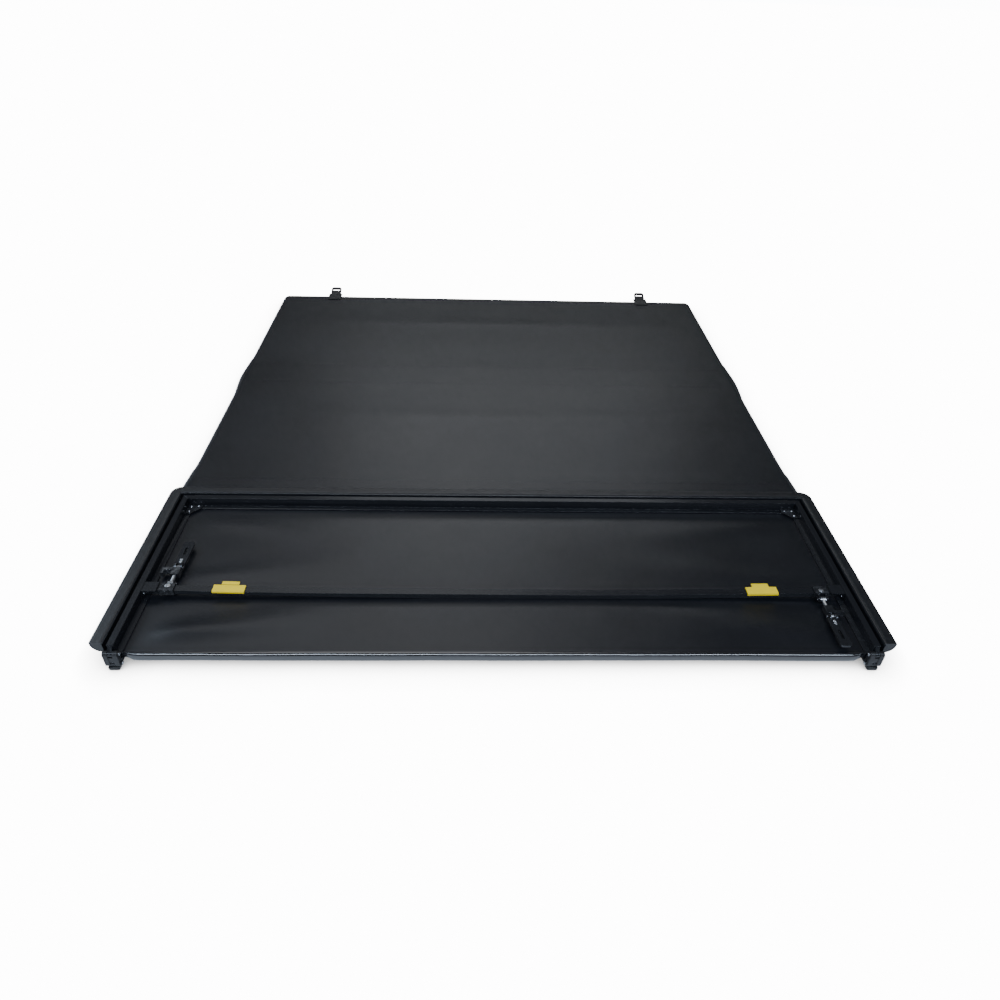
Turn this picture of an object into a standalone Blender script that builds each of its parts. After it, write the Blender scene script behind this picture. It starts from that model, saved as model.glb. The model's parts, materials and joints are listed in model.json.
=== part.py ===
# Soft four-panel folding tonneau cover, laid out with its tailgate panel folded over.
#
# Metres, +Z up, +Y towards the cab. The origin is under the middle of the folded-down cover.
# Each panel is drawn flat in its own frame: y = 0 on its cab-side hinge pin (or the cab end of
# panel 1), the panel reaching towards -y, z = 0 on the frame's underside.
import math

import bmesh
import bpy
from mathutils import Matrix

# Overall sizes
COVER_WIDTH = 1.620          # across the hems
TAIL_PANEL = 0.5335          # panel 4, hinge pin to tailgate end
CAB_PANEL = 0.6145           # panel 1, hinge pin to cab end
FRAME_DEPTH = 0.025          # underside to vinyl, every rail and bar

# Clearances
TOUCH = 0.0003               # between pieces that touch
SWEEP = 0.0035               # between a folded panel's end and the next hinge
STACK_GAP = 0.0065           # between a folded panel and the vinyl under it
VINYL_GAP = 0.010            # frame to frame where two vinyl faces meet

# Vinyl and hems
VINYL = 0.0012
CROWN = 0.0025               # rise of the vinyl over each bow
HEM_WIDTH = 0.026
HEM_ROUND = 0.020
HEM_BACK = 0.060             # hems stop this far from a hinge pin
SHEET_BACK = 0.0135          # vinyl sheets stop this far from a hinge pin

# Rail extrusion
LIP = 0.0025
GROOVE = 0.0085
TUBE = 0.013
FLANGE = 0.012
WALL = 0.003
GROOVE_ROOF = 0.0035
TUBE_WALL = 0.002
SEAL_RADIUS = 0.0036

# Double-pin hinges
PIN_DROP = 0.008             # pins below the vinyl side of the frame
LINK_ROUND = 0.0065
LUG_ROUND = 0.006
PIN_RADIUS = 0.003
PIN_HEAD = 0.0045
CHEEK = 0.0097
RAIL_BACK = 0.0075           # rails stop this far from a hinge pin
TANG = 0.030

# Bows
BOW_WIDTH = 0.016
BOW_HEIGHT = 0.012
BOW_END_HEIGHT = 0.0035
BOW_AT = (0.41, 0.40, 0.40, 0.325)
BRACKET = 0.0027
BRACKET_ARM = 0.030
BRACKET_LENGTH = 0.028       # along the rail
CORNER_ARM = 0.034
CORNER_WIDTH = 0.012

# Clamps
CLAMP_IN = 0.100             # clamp centre from the cover's edge
PIVOT_OUT = 0.020            # swing pin from the bow's centre
PIVOT_HEIGHT = 0.012
ROD_LENGTH = 0.052
ROD_RADIUS = 0.004
CAM_RADIUS = 0.009
CAM_OFFSET = 0.004
LEVER_REACH = 0.085
JAW_REACH = 0.032
JAW_HALF = 0.007
JAW_BODY = 0.009             # half width of the jaw's sleeve
JAW_LIP = 0.006              # thickness of the jaw's outer lip
JAW_HOOK = 0.008             # thickness of the jaw's gripping face
JAW_DEPTH = 0.0195           # face to the lip's end
JAW_LENGTH = 0.0227
ROD_PLAY = 0.0004            # jaw sleeve on its rod
BASE_HALF = 0.015            # half width of the saddle
BASE_SOLE = 0.0105           # swing pin down to the saddle's sole
SWING_EAR = 0.007
SWING_BARREL = 0.006
CAM_PIN = 0.0025
CAM_EYE = 0.0052
CAM_WIDTH = 0.0045
CAM_MIDDLE = 0.00665         # each cam's middle from the rod's
LEVER_HALF = 0.011
LEVER_TIP_HALF = 0.0125
LEVER_THICKNESS = 0.005
LEVER_CORNER = 0.006
LEVER_SLOT = 0.003           # half width of the lever's slot
LEVER_SLOT_ENDS = (0.022, 0.042)

# Pads and buckles
PAD_IN = 0.230
PAD_LENGTH = 0.068
PAD_WALL = 0.0025
PAD_DEPTH = 0.0055           # the pad's channel, overall
PAD_TAB = 0.037
PAD_TAB_OUT = 0.011          # how far the pull tab stands out
BUCKLE_IN = 0.203
BUCKLE_WIDTH = 0.038
BUCKLE_LENGTH = 0.038
BUCKLE_THICKNESS = 0.007
BUCKLE_TILT = math.radians(20)
BUCKLE_SLOT = (0.019, 0.029)
SLOT_WIDTH = 0.026
TAB_WIDTH = 0.050
TAB_LENGTH = 0.050           # lap of the webbing tab on the vinyl
WEBBING = 0.0025

# Worked out from the sizes above
HALF = COVER_WIDTH / 2
PIN_HEIGHT = FRAME_DEPTH - PIN_DROP
RAIL_INNER = HEM_WIDTH + LIP + GROOVE + TUBE
FLANGE_INNER = RAIL_INNER + FLANGE
TUBE_OUTER = RAIL_INNER - TUBE
STACK_STEP = LINK_ROUND + PIN_DROP + TOUCH + VINYL + SWEEP
PANEL = (
    CAB_PANEL,
    TAIL_PANEL + 2 * STACK_STEP - LINK_ROUND,
    TAIL_PANEL + STACK_STEP - LINK_ROUND,
    TAIL_PANEL,
)
FOLD_GAP = (VINYL_GAP + 2 * (FRAME_DEPTH + STACK_GAP), VINYL_GAP + FRAME_DEPTH + STACK_GAP, VINYL_GAP)
LINK_SPAN = tuple(gap + 2 * PIN_DROP for gap in FOLD_GAP)
BOW_END = HALF - RAIL_INNER - TOUCH - BRACKET / 2
BOW_RISE = FRAME_DEPTH + CROWN - BOW_HEIGHT - BOW_END_HEIGHT
REST_LENGTH = LINK_ROUND + PANEL[2] + LINK_SPAN[1] + PANEL[1] + LINK_SPAN[0] + PANEL[0]
STACK_HEIGHT = 2 * FRAME_DEPTH + VINYL_GAP
BUCKLE_OUT = BUCKLE_LENGTH * math.cos(BUCKLE_TILT) + BUCKLE_THICKNESS / 2 * math.sin(BUCKLE_TILT)
NEAR = -(REST_LENGTH + BUCKLE_OUT) / 2

for old in list(bpy.data.objects):
    bpy.data.objects.remove(old, do_unlink=True)

parts = bpy.data.collections.new("tonneau_cover")
cutters = bpy.data.collections.new("cutters")
bpy.context.scene.collection.children.link(parts)
bpy.context.scene.collection.children.link(cutters)


def material(name, color, roughness, metallic=0.0):
    made = bpy.data.materials.get(name)
    if made is None:
        made = bpy.data.materials.new(name)
        made.use_nodes = True
        shader = made.node_tree.nodes["Principled BSDF"]
        shader.inputs["Base Color"].default_value = (*color, 1)
        shader.inputs["Roughness"].default_value = roughness
        shader.inputs["Metallic"].default_value = metallic
    return made


FINISHES = {
    "vinyl": ((0.012, 0.013, 0.016), 0.5, 0.0),
    "frame": ((0.02, 0.02, 0.022), 0.35, 0.6),
    "hinge": ((0.015, 0.015, 0.017), 0.4, 0.2),
    "steel": ((0.05, 0.05, 0.055), 0.35, 0.8),
    "rubber": ((0.01, 0.01, 0.01), 0.8, 0.0),
    "plastic": ((0.012, 0.012, 0.012), 0.5, 0.0),
    "yellow": ((0.75, 0.55, 0.03), 0.5, 0.0),
}


def finish(item, name, kind, holder, place=(0, 0, 0)):
    """Names a piece, gives it its own material and hangs it on its holder."""
    item.name = name
    item.data.name = name
    item.data.materials.clear()
    item.data.materials.append(material(name + "_finish", *FINISHES[kind]))
    item.parent = holder
    item.matrix_parent_inverse = Matrix.Identity(4)
    item.location = place
    parts.objects.link(item)
    return item


def empty(name, place, turn=0.0, spin=0.0, holder=None):
    made = bpy.data.objects.new(name, None)
    made.location = place
    made.rotation_euler = (turn, 0, spin)
    made.parent = holder
    cutters.objects.link(made)
    return made


def from_bmesh(bm, name="piece"):
    mesh = bpy.data.meshes.new(name)
    bm.normal_update()
    bmesh.ops.recalc_face_normals(bm, faces=bm.faces)
    if bm.calc_volume(signed=True) < 0:
        bmesh.ops.reverse_faces(bm, faces=bm.faces)
    bm.to_mesh(mesh)
    bm.free()
    return bpy.data.objects.new(name, mesh)


def outline(loops, thickness):
    """A flat outline with holes in local XY, given its thickness along Z, as a welded mesh."""
    curve = bpy.data.curves.new("outline", "CURVE")
    curve.dimensions = "2D"
    curve.fill_mode = "BOTH"
    curve.extrude = thickness / 2
    for loop in loops:
        spline = curve.splines.new("POLY")
        spline.points.add(len(loop) - 1)
        spline.use_cyclic_u = True
        for point, (a, b) in zip(spline.points, loop):
            point.co = (a, b, 0, 1)
    drawn = bpy.data.objects.new("outline", curve)
    cutters.objects.link(drawn)
    seen = drawn.evaluated_get(bpy.context.evaluated_depsgraph_get())
    mesh = bpy.data.meshes.new_from_object(seen)
    bpy.data.objects.remove(drawn)
    bpy.data.curves.remove(curve)
    bm = bmesh.new()
    bm.from_mesh(mesh)
    bpy.data.meshes.remove(mesh)
    bmesh.ops.remove_doubles(bm, verts=bm.verts, dist=0.00001)
    if len(loops) == 1:
        bmesh.ops.dissolve_limit(bm, angle_limit=0.001, verts=bm.verts, edges=bm.edges)
    return bm


def shaped(bm, move):
    """Moves each point of a mesh by a rule, then faces it outwards."""
    for v in bm.verts:
        v.co = move(*v.co)
    return from_bmesh(bm)


def box(low, high):
    bm = bmesh.new()
    bmesh.ops.create_cube(bm, size=1)
    middle = [(a + b) / 2 for a, b in zip(low, high)]
    size = [b - a for a, b in zip(low, high)]
    return shaped(bm, lambda x, y, z: tuple(m + s * c for m, s, c in zip(middle, size, (x, y, z))))


def rod(axis, radius, start, end, centre=(0, 0), sides=12):
    """A round bar along x or y between two stations, centred on the other two coordinates."""
    bm = bmesh.new()
    bmesh.ops.create_cone(
        bm, cap_ends=True, segments=sides, radius1=radius, radius2=radius, depth=end - start
    )
    along = (start + end) / 2
    if axis == "x":
        return shaped(bm, lambda x, y, z: (along + z, centre[0] + x, centre[1] + y))
    return shaped(bm, lambda x, y, z: (centre[0] + x, along + z, centre[1] + y))


def arc(centre, radius, start, end, steps):
    """Points on an arc, angles in degrees."""
    angles = [math.radians(start + (end - start) * i / steps) for i in range(steps + 1)]
    return [(centre[0] + radius * math.cos(a), centre[1] + radius * math.sin(a)) for a in angles]


def combine(base, others, operation):
    for other in others:
        cutters.objects.link(other)
        other.parent = base
        other.matrix_parent_inverse = Matrix.Identity(4)
        other.hide_render = True
        other.display_type = "WIRE"
        step = base.modifiers.new(operation.lower(), "BOOLEAN")
        step.operation = operation
        step.solver = "EXACT"
        step.object = other
    return base


def rail_section():
    """The rail's outline from the cover's edge inwards: lip, groove, hollow tube, inner flange."""
    roof = FRAME_DEPTH - GROOVE_ROOF
    under = FRAME_DEPTH - WALL
    lip_in = HEM_WIDTH + LIP
    outer = [
        (HEM_WIDTH, 0), (lip_in, 0), (lip_in, roof), (TUBE_OUTER, roof), (TUBE_OUTER, 0),
        (RAIL_INNER, 0), (RAIL_INNER, under), (FLANGE_INNER, under), (FLANGE_INNER, FRAME_DEPTH),
        (HEM_WIDTH, FRAME_DEPTH),
    ]
    low, high = TUBE_OUTER + TUBE_WALL, RAIL_INNER - TUBE_WALL
    ceiling = FRAME_DEPTH - TUBE_WALL
    hollow = [(low, TUBE_WALL), (high, TUBE_WALL), (high, ceiling), (low, ceiling)]
    return [outer, hollow]


def side_rail(side, tail, cab, mitre=None):
    """A rail from y = tail to y = cab; a mitred end stands as far back as the point is in."""
    length = cab - tail
    middle = (cab + tail) / 2

    def move(u, z, t):
        y = middle + t
        if mitre == "cab" and t > 0:
            y -= u
        if mitre == "tail" and t < 0:
            y += u
        return (side * (HALF - u), y, z)

    return shaped(outline(rail_section(), length), move)


def end_bar(end, inward):
    """The rail's section run across the cover's end, mitred to the rails."""
    return shaped(
        outline(rail_section(), 2.0),
        lambda u, z, t: (math.copysign(HALF - u - 2 * TOUCH, t), end + inward * u, z),
    )


def hem_section():
    inner = HEM_WIDTH - TOUCH
    round_part = arc((HEM_ROUND, FRAME_DEPTH - HEM_ROUND), HEM_ROUND, 90, 180, 6)
    return [(0, 0), (inner, 0), (inner, FRAME_DEPTH)] + round_part


def straight_hem(side, tail, cab):
    middle = (cab + tail) / 2
    return shaped(outline([hem_section()], cab - tail), lambda u, z, t: (side * (HALF - u), middle + t, z))


def wrapped_hem(start, end, inward):
    """The hem round a cover end: up one side, round both corners and down the other."""
    corner = HEM_WIDTH
    turns = arc((corner - HALF, corner), corner, 180, 270, 6)
    half = [(-HALF, abs(start - end))] + turns
    path = half + [(-x, y) for x, y in reversed(half)]
    section = hem_section()
    bm = bmesh.new()
    rings = []
    for i, (x, y) in enumerate(path):
        last = i in (0, len(path) - 1)
        cx = math.copysign(HALF - corner, x)
        reach = (x - cx, 0) if last else (x - cx, y - corner)
        size = math.hypot(*reach)
        rings.append([
            bm.verts.new((x - reach[0] / size * u, end + inward * (y - reach[1] / size * u), z))
            for u, z in section
        ])
    for near, far in zip(rings, rings[1:]):
        for i in range(len(section)):
            j = (i + 1) % len(section)
            bm.faces.new((near[i], near[j], far[j], far[i]))
    bm.faces.new(rings[0])
    bm.faces.new(rings[-1])
    return from_bmesh(bm)


def vinyl_sheet(tail, cab, bow_y):
    """The vinyl skin: flat at the frame, raised along its bow, with the thickness put on outside."""
    bm = bmesh.new()
    bmesh.ops.create_grid(bm, x_segments=12, y_segments=2, size=1)
    half = HALF - HEM_ROUND
    stations = (tail, bow_y, cab)

    def move(x, y, z):
        row = round(y) + 1
        rise = CROWN * (1 - x * x) if row == 1 else 0.0
        return (x * half, stations[row], FRAME_DEPTH + TOUCH + rise)

    sheet = shaped(bm, move)
    if sheet.data.polygons[0].normal.z < 0:
        sheet.data.flip_normals()
    skin = sheet.modifiers.new("vinyl", "SOLIDIFY")
    skin.thickness = VINYL
    skin.offset = 1
    return sheet


def bow(bow_y):
    """A bow that dips below the rails at its ends and lifts the vinyl in the middle."""
    bm = bmesh.new()
    bmesh.ops.create_grid(bm, x_segments=24, y_segments=1, size=1)
    for v in bm.verts:
        x = v.co.x * BOW_END
        v.co = (x, bow_y + v.co.y * BOW_WIDTH / 2, bow_height(x))
    risen = bmesh.ops.extrude_face_region(bm, geom=bm.faces[:], use_keep_orig=True)["geom"]
    top = [v for v in risen if isinstance(v, bmesh.types.BMVert)]
    bmesh.ops.translate(bm, verts=top, vec=(0, 0, BOW_HEIGHT))
    return from_bmesh(bm)


def bow_height(x):
    return BOW_END_HEIGHT + BOW_RISE * (1 - (x / BOW_END) ** 2)


def bow_bracket(side, bow_y):
    """The angle welded under the bow's end, which bolts to the rail's inner face."""
    face = RAIL_INNER + TOUCH
    foot_top = BOW_END_HEIGHT + 4 * TOUCH
    foot = BOW_END_HEIGHT - BRACKET
    top = FRAME_DEPTH - 2 * WALL
    ell = [
        (face, foot), (face + BRACKET_ARM, foot), (face + BRACKET_ARM, foot_top),
        (face + BRACKET, foot_top), (face + BRACKET, top), (face, top),
    ]
    return shaped(outline([ell], BRACKET_LENGTH), lambda u, z, t: (side * (HALF - u), bow_y + t, z))


def corner_bracket(side, end, inward):
    """A flat angle under the inner flanges that ties a mitred corner."""
    start = RAIL_INNER + TOUCH
    arm = start + CORNER_ARM
    width = start + CORNER_WIDTH
    ell = [(start, start), (arm, start), (arm, width), (width, arm), (start, arm)]
    top = FRAME_DEPTH - WALL - TOUCH
    low = top - BRACKET
    return shaped(
        outline([ell], top - low),
        lambda u, v, t: (side * (HALF - u), end + inward * v, (top + low) / 2 + t),
    )


def hinge_lug(side, pin_y, inward):
    """A lug whose eye turns on the hinge pin, and the tang that holds it in the rail's tube."""
    low = TUBE_WALL + TOUCH
    high = FRAME_DEPTH - TUBE_WALL - TOUCH
    step = RAIL_BACK - 2 * TOUCH
    eye = arc((0, PIN_HEIGHT), LUG_ROUND, 90, 270, 8)
    body = [(step, low), (RAIL_BACK + TANG, low), (RAIL_BACK + TANG, high), (step, high)]
    bore = arc((0, PIN_HEIGHT), PIN_RADIUS + TOUCH, 0, 330, 11)
    hollow = TUBE - 2 * TUBE_WALL
    middle = side * (HALF - (TUBE_OUTER + RAIL_INNER) / 2)
    lug = shaped(
        outline([eye + body, bore], hollow - 2 * TOUCH),
        lambda y, z, t: (middle + t, pin_y + inward * y, z),
    )
    weld = TUBE_WALL / 4
    ends = sorted((pin_y + inward * (RAIL_BACK + 0.004), pin_y + inward * (RAIL_BACK + TANG - 0.002)))
    tang = box(
        (middle - hollow / 2 - weld, ends[0], 0.3 * FRAME_DEPTH),
        (middle + hollow / 2 + weld, ends[1], FRAME_DEPTH - TUBE_WALL + weld),
    )
    return [lug, tang]


def hinge_link(side, span):
    """Two cheeks, a web and two headed pins, drawn from the cab-side pin towards the tail."""
    middle = (TUBE_OUTER + RAIL_INNER) / 2
    inner = TUBE / 2 - TUBE_WALL + TOUCH
    plate = arc((0, 0), LINK_ROUND, -90, 90, 8) + arc((-span, 0), LINK_ROUND, 90, 270, 8)

    def cheek(offset):
        return shaped(outline([plate], CHEEK), lambda y, z, t: (offset + t, y, z))

    web_end = LUG_ROUND + 4 * TOUCH
    base = cheek(-inner - CHEEK / 2)
    others = [cheek(inner + CHEEK / 2)]
    edge = inner + CHEEK / 2
    tall = 0.85 * LINK_ROUND
    others.append(box((-edge, web_end - span, -tall), (edge, -web_end, tall)))
    head = -side * (inner + CHEEK)
    for y in (0, -span):
        others.append(rod("x", PIN_RADIUS, -0.9 * edge, 0.9 * edge, (y, 0)))
        low, high = sorted((head + side * 0.002, head - side * 0.0025))
        others.append(rod("x", PIN_HEAD, low, high, (y, 0), 10))
    combine(base, others, "UNION")
    base.location = (side * (HALF - middle), 0, 0)
    return base


def clamp_base():
    """A saddle round the bow with two ears and a fixed pin, drawn about that pin."""
    wall = BRACKET
    bow_low = PIVOT_OUT + BOW_WIDTH / 2 + TOUCH
    bow_high = PIVOT_OUT - BOW_WIDTH / 2 - TOUCH
    rim = 0.75 * SWING_BARREL
    floor = bow_height(HALF - CLAMP_IN + BASE_HALF + 3 * TOUCH) - TOUCH - PIVOT_HEIGHT
    base = box((-BASE_HALF, -bow_low - wall, -BASE_SOLE), (BASE_HALF, -bow_high + wall, floor))
    others = [
        box((-BASE_HALF, -bow_low - wall, -BASE_SOLE), (BASE_HALF, -bow_low, rim)),
        box((-BASE_HALF, -bow_high, -BASE_SOLE), (BASE_HALF, -bow_high + wall, rim)),
        rod("x", PIN_RADIUS, -SWING_BARREL - 0.005, SWING_BARREL + 0.005),
    ]
    root = -bow_high + wall / 2
    ear = arc((0, 0), SWING_EAR, -90, 90, 8) + [(root, SWING_EAR), (root, -SWING_EAR)]
    for x in (-SWING_BARREL - 0.002, SWING_BARREL + 0.002):
        others.append(shaped(outline([ear], 0.003), lambda s, z, t, x=x: (x + t, s, z)))
    return combine(base, others, "UNION")


def clamp_rod():
    """The swing rod: a barrel on the saddle's pin, the rod, and an eye for the lever."""
    eye = CAM_MIDDLE - CAM_WIDTH / 2 - 2 * TOUCH
    base = rod("x", SWING_BARREL, -SWING_BARREL, SWING_BARREL)
    combine(base, [
        rod("y", ROD_RADIUS, 0.8 * SWING_BARREL, ROD_LENGTH - CAM_EYE / 2),
        rod("x", CAM_EYE, -eye, eye, (ROD_LENGTH, 0)),
    ], "UNION")
    past = 1.5 * SWING_BARREL
    return combine(base, [
        rod("x", PIN_RADIUS + TOUCH, -past, past),
        rod("x", CAM_PIN + TOUCH, -past, past, (ROD_LENGTH, 0)),
    ], "DIFFERENCE")


def clamp_jaw():
    """A sliding jaw: a sleeve on the rod and a hook that goes under the bed rail's flange."""
    face = ROD_LENGTH - CAM_RADIUS + CAM_OFFSET - TOUCH
    back = face - JAW_LENGTH
    grip = face - JAW_HOOK
    lip = JAW_REACH - JAW_LIP
    hook = [
        (-JAW_BODY, back), (JAW_BODY, back), (JAW_BODY, grip), (lip, grip), (lip, face - JAW_DEPTH),
        (JAW_REACH, face - JAW_DEPTH), (JAW_REACH, face), (-JAW_BODY, face),
    ]
    jaw = shaped(outline([hook], 2 * JAW_HALF), lambda x, s, t: (x, s, t))
    sleeve = rod("y", ROD_RADIUS + ROD_PLAY, back - JAW_LENGTH, face + JAW_LENGTH)
    return combine(jaw, [sleeve], "DIFFERENCE")


def clamp_lever():
    """The cam lever: two eccentric cams on one pin and a slotted handle."""
    start = ROD_LENGTH + CAM_RADIUS - CAM_OFFSET / 2
    tip = ROD_LENGTH + LEVER_REACH
    corner = LEVER_TIP_HALF - LEVER_CORNER
    handle = [(-LEVER_HALF, start), (LEVER_HALF, start), (LEVER_TIP_HALF, tip - 2 * LEVER_CORNER)]
    handle += arc((corner, tip - LEVER_CORNER), LEVER_CORNER, 0, 90, 4)
    handle += arc((-corner, tip - LEVER_CORNER), LEVER_CORNER, 90, 180, 4)
    handle += [(-LEVER_TIP_HALF, tip - 2 * LEVER_CORNER)]
    outer, inner = (tip - end for end in LEVER_SLOT_ENDS)
    slot = arc((0, outer), LEVER_SLOT, 0, 180, 6) + arc((0, inner), LEVER_SLOT, 180, 360, 6)
    base = shaped(outline([handle, slot], LEVER_THICKNESS), lambda x, s, t: (x, s, t))
    pin_end = CAM_MIDDLE + CAM_WIDTH / 2 + 0.001
    others = [rod("x", CAM_PIN, -pin_end, pin_end, (ROD_LENGTH, 0))]
    for x in (-CAM_MIDDLE, CAM_MIDDLE):
        low, high = x - CAM_WIDTH / 2, x + CAM_WIDTH / 2
        others.append(rod("x", CAM_RADIUS, low, high, (ROD_LENGTH + CAM_OFFSET, 0), 20))
    return combine(base, others, "UNION")


def bow_pad(side, bow_y):
    """A snap-on pad under the bow, with a pull tab on its tailgate side."""
    x = side * (HALF - PAD_IN)
    gap = BOW_WIDTH / 2 + TOUCH
    wall = gap + PAD_WALL
    under = -2 * TOUCH - PAD_WALL
    rim = under + PAD_DEPTH
    channel = [
        (-wall, under), (wall, under), (wall, rim), (gap, rim), (gap, -2 * TOUCH), (-gap, -2 * TOUCH),
        (-gap, rim), (-wall, rim),
    ]
    pad = shaped(outline([channel], PAD_LENGTH), lambda y, z, t: (t, y, z))
    tab = box((-PAD_TAB / 2, -wall - PAD_TAB_OUT, under + 0.0002), (PAD_TAB / 2, -gap, under + PAD_WALL))
    combine(pad, [tab], "UNION")
    pad.location = (x, bow_y, bow_height(x))
    pad.rotation_euler = (0, 2 * BOW_RISE * x / BOW_END ** 2, 0)
    return pad


def strap_buckle():
    """A webbing tab sewn to the vinyl at the cab end, ending in a slotted buckle."""
    low = FRAME_DEPTH + VINYL + 4 * TOUCH
    tab = box((-TAB_WIDTH / 2, -TAB_LENGTH, low), (TAB_WIDTH / 2, 0.004, low + WEBBING))
    half = BUCKLE_WIDTH / 2
    cut = 0.006
    frame = [(-half, -0.004), (half, -0.004), (half, BUCKLE_LENGTH - cut), (half - cut, BUCKLE_LENGTH)]
    frame += [(-half + cut, BUCKLE_LENGTH), (-half, BUCKLE_LENGTH - cut)]
    near, far = BUCKLE_SLOT
    width = SLOT_WIDTH / 2
    slot = [(-width, near), (width, near), (width, far), (-width, far)]
    rise, run = math.sin(BUCKLE_TILT), math.cos(BUCKLE_TILT)
    buckle = shaped(
        outline([frame, slot], BUCKLE_THICKNESS),
        lambda x, y, t: (x, y * run - t * rise, low + 0.001 + y * rise + t * run),
    )
    return combine(tab, [buckle], "UNION")


# Where each body stands with the tailgate panel folded over
cab_pin = [None] * 4
cab_pin[2] = NEAR + LINK_ROUND + PANEL[2]
cab_pin[1] = cab_pin[2] + LINK_SPAN[1] + PANEL[1]
cab_pin[0] = cab_pin[1] + LINK_SPAN[0] + PANEL[0]
fold_y = NEAR + LINK_ROUND
cab_pin[3] = fold_y

panel_frames = []
for i in range(3):
    panel_frames.append(empty(f"panel_{i + 1}", (0, cab_pin[i], PIN_HEIGHT)))
panel_frames.append(empty("panel_4", (0, fold_y, STACK_HEIGHT - PIN_HEIGHT), math.pi))
link_frames = [
    empty("link_12", (0, cab_pin[1] + LINK_SPAN[0], PIN_HEIGHT)),
    empty("link_23", (0, cab_pin[2] + LINK_SPAN[1], PIN_HEIGHT)),
    empty("link_34", (0, fold_y, PIN_HEIGHT), -math.pi / 2),
]
SIDES = ((-1, "left"), (1, "right"))
DOWN = (0, 0, -PIN_HEIGHT)   # from a panel's frame to its underside

for i, frame in enumerate(panel_frames):
    number = i + 1
    first, last = number == 1, number == 4
    tail = -PANEL[i]
    cab_hinge = not first
    tail_hinge = not last
    bow_y = BOW_AT[i] * tail
    rail_cab = -RAIL_BACK if cab_hinge else 0.0
    rail_tail = tail + RAIL_BACK if tail_hinge else tail
    mitre = "cab" if first else "tail" if last else None
    for side, word in SIDES:
        lugs = hinge_lug(side, 0, -1) if cab_hinge else []
        lugs += hinge_lug(side, tail, 1) if tail_hinge else []
        rail = combine(side_rail(side, rail_tail, rail_cab, mitre), lugs, "UNION")
        finish(rail, f"side_rail_{word}_{number}", "frame", frame, DOWN)
        if number in (2, 3):
            hem = straight_hem(side, tail + HEM_BACK, -HEM_BACK)
            finish(hem, f"edge_hem_{word}_{number}", "vinyl", frame, DOWN)
        if first:
            finish(corner_bracket(side, 0, -1), f"corner_bracket_cab_{word}", "steel", frame, DOWN)
        if last:
            finish(corner_bracket(side, tail, 1), f"corner_bracket_tail_{word}", "steel", frame, DOWN)
            pad = bow_pad(side, bow_y)
            place = (pad.location.x, pad.location.y, pad.location.z - PIN_HEIGHT)
            finish(pad, f"bow_pad_{word}", "yellow", frame, place)
    if first:
        finish(wrapped_hem(tail + HEM_BACK, 0, -1), "edge_hem_cab", "vinyl", frame, DOWN)
        finish(end_bar(0, -1), "cab_bar", "frame", frame, DOWN)
    if last:
        finish(wrapped_hem(-SHEET_BACK, tail, 1), "edge_hem_tail", "vinyl", frame, DOWN)
        finish(end_bar(tail, 1), "tail_bar", "frame", frame, DOWN)
        seal_y = tail + HEM_WIDTH + LIP + GROOVE / 2
        seal_end = HALF - FLANGE_INNER
        seal = rod("x", SEAL_RADIUS, -seal_end, seal_end, (seal_y, 0.007), 12)
        finish(seal, "tail_seal", "rubber", frame, DOWN)
    sheet_cab = -SHEET_BACK if cab_hinge else -HEM_ROUND
    sheet_tail = tail + SHEET_BACK if tail_hinge else tail + HEM_ROUND
    finish(vinyl_sheet(sheet_tail, sheet_cab, bow_y), f"vinyl_panel_{number}", "vinyl", frame, DOWN)
    feet = [bow_bracket(side, bow_y) for side in (-1, 1)]
    finish(combine(bow(bow_y), feet, "UNION"), f"bow_{number}", "frame", frame, DOWN)
    if first or last:
        end = "front" if first else "rear"
        for side, word in SIDES:
            place = f"{end}_{word}"
            # The same clamp on both sides, turned half round, so the left one points to the tail
            pivot = (side * (HALF - CLAMP_IN), bow_y + side * PIVOT_OUT, PIVOT_HEIGHT - PIN_HEIGHT)
            spin = 0 if side > 0 else math.pi
            holder = empty(f"clamp_{place}", pivot, 0, spin, frame)
            finish(clamp_base(), f"clamp_base_{place}", "steel", holder)
            finish(clamp_rod(), f"clamp_rod_{place}", "steel", holder)
            finish(clamp_jaw(), f"clamp_jaw_{place}", "steel", holder)
            finish(clamp_lever(), f"clamp_lever_{place}", "steel", holder)

for side, word in SIDES:
    at = (side * (HALF - BUCKLE_IN), 0, -PIN_HEIGHT)
    finish(strap_buckle(), f"strap_buckle_{word}", "plastic", panel_frames[0], at)

for span, frame, word in zip(LINK_SPAN, link_frames, ("12", "23", "34")):
    for side, hand in SIDES:
        link = hinge_link(side, span)
        finish(link, f"hinge_link_{hand}_{word}", "hinge", frame, link.location.copy())

sheet_half = HALF - HEM_ROUND
for span, frame, word in zip(LINK_SPAN[:2], link_frames, ("12", "23")):
    reach = SHEET_BACK - TOUCH
    low = PIN_DROP + TOUCH
    strip = box((-sheet_half, -span - reach, low), (sheet_half, reach, low + VINYL))
    finish(strip, f"vinyl_fold_{word}", "vinyl", frame)

# The folded strip: a small nose from the vinyl of panel 3 up to the vinyl of panel 4
nose_outer = VINYL_GAP / 2 - TOUCH
nose_centre = (-PIN_DROP - VINYL_GAP / 2, SHEET_BACK - 0.001)
nose_end = SHEET_BACK - TOUCH
nose = arc(nose_centre, nose_outer, 180, 360, 12)
nose += [(nose_centre[0] + nose_outer, nose_end), (nose_centre[0] + nose_outer - VINYL, nose_end)]
nose += arc(nose_centre, nose_outer - VINYL, 360, 180, 12)
nose += [(nose_centre[0] - nose_outer + VINYL, nose_end), (nose_centre[0] - nose_outer, nose_end)]
strip = shaped(outline([nose], 2 * sheet_half), lambda y, z, t: (t, y, z))
finish(strip, "vinyl_fold_34", "vinyl", link_frames[2])
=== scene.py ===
# Soft folding tonneau cover with its tailgate panel folded over: fabric, finishes and fasteners.
import json
import math
import bmesh
import bpy
from mathutils import Matrix, Vector, noise


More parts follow.
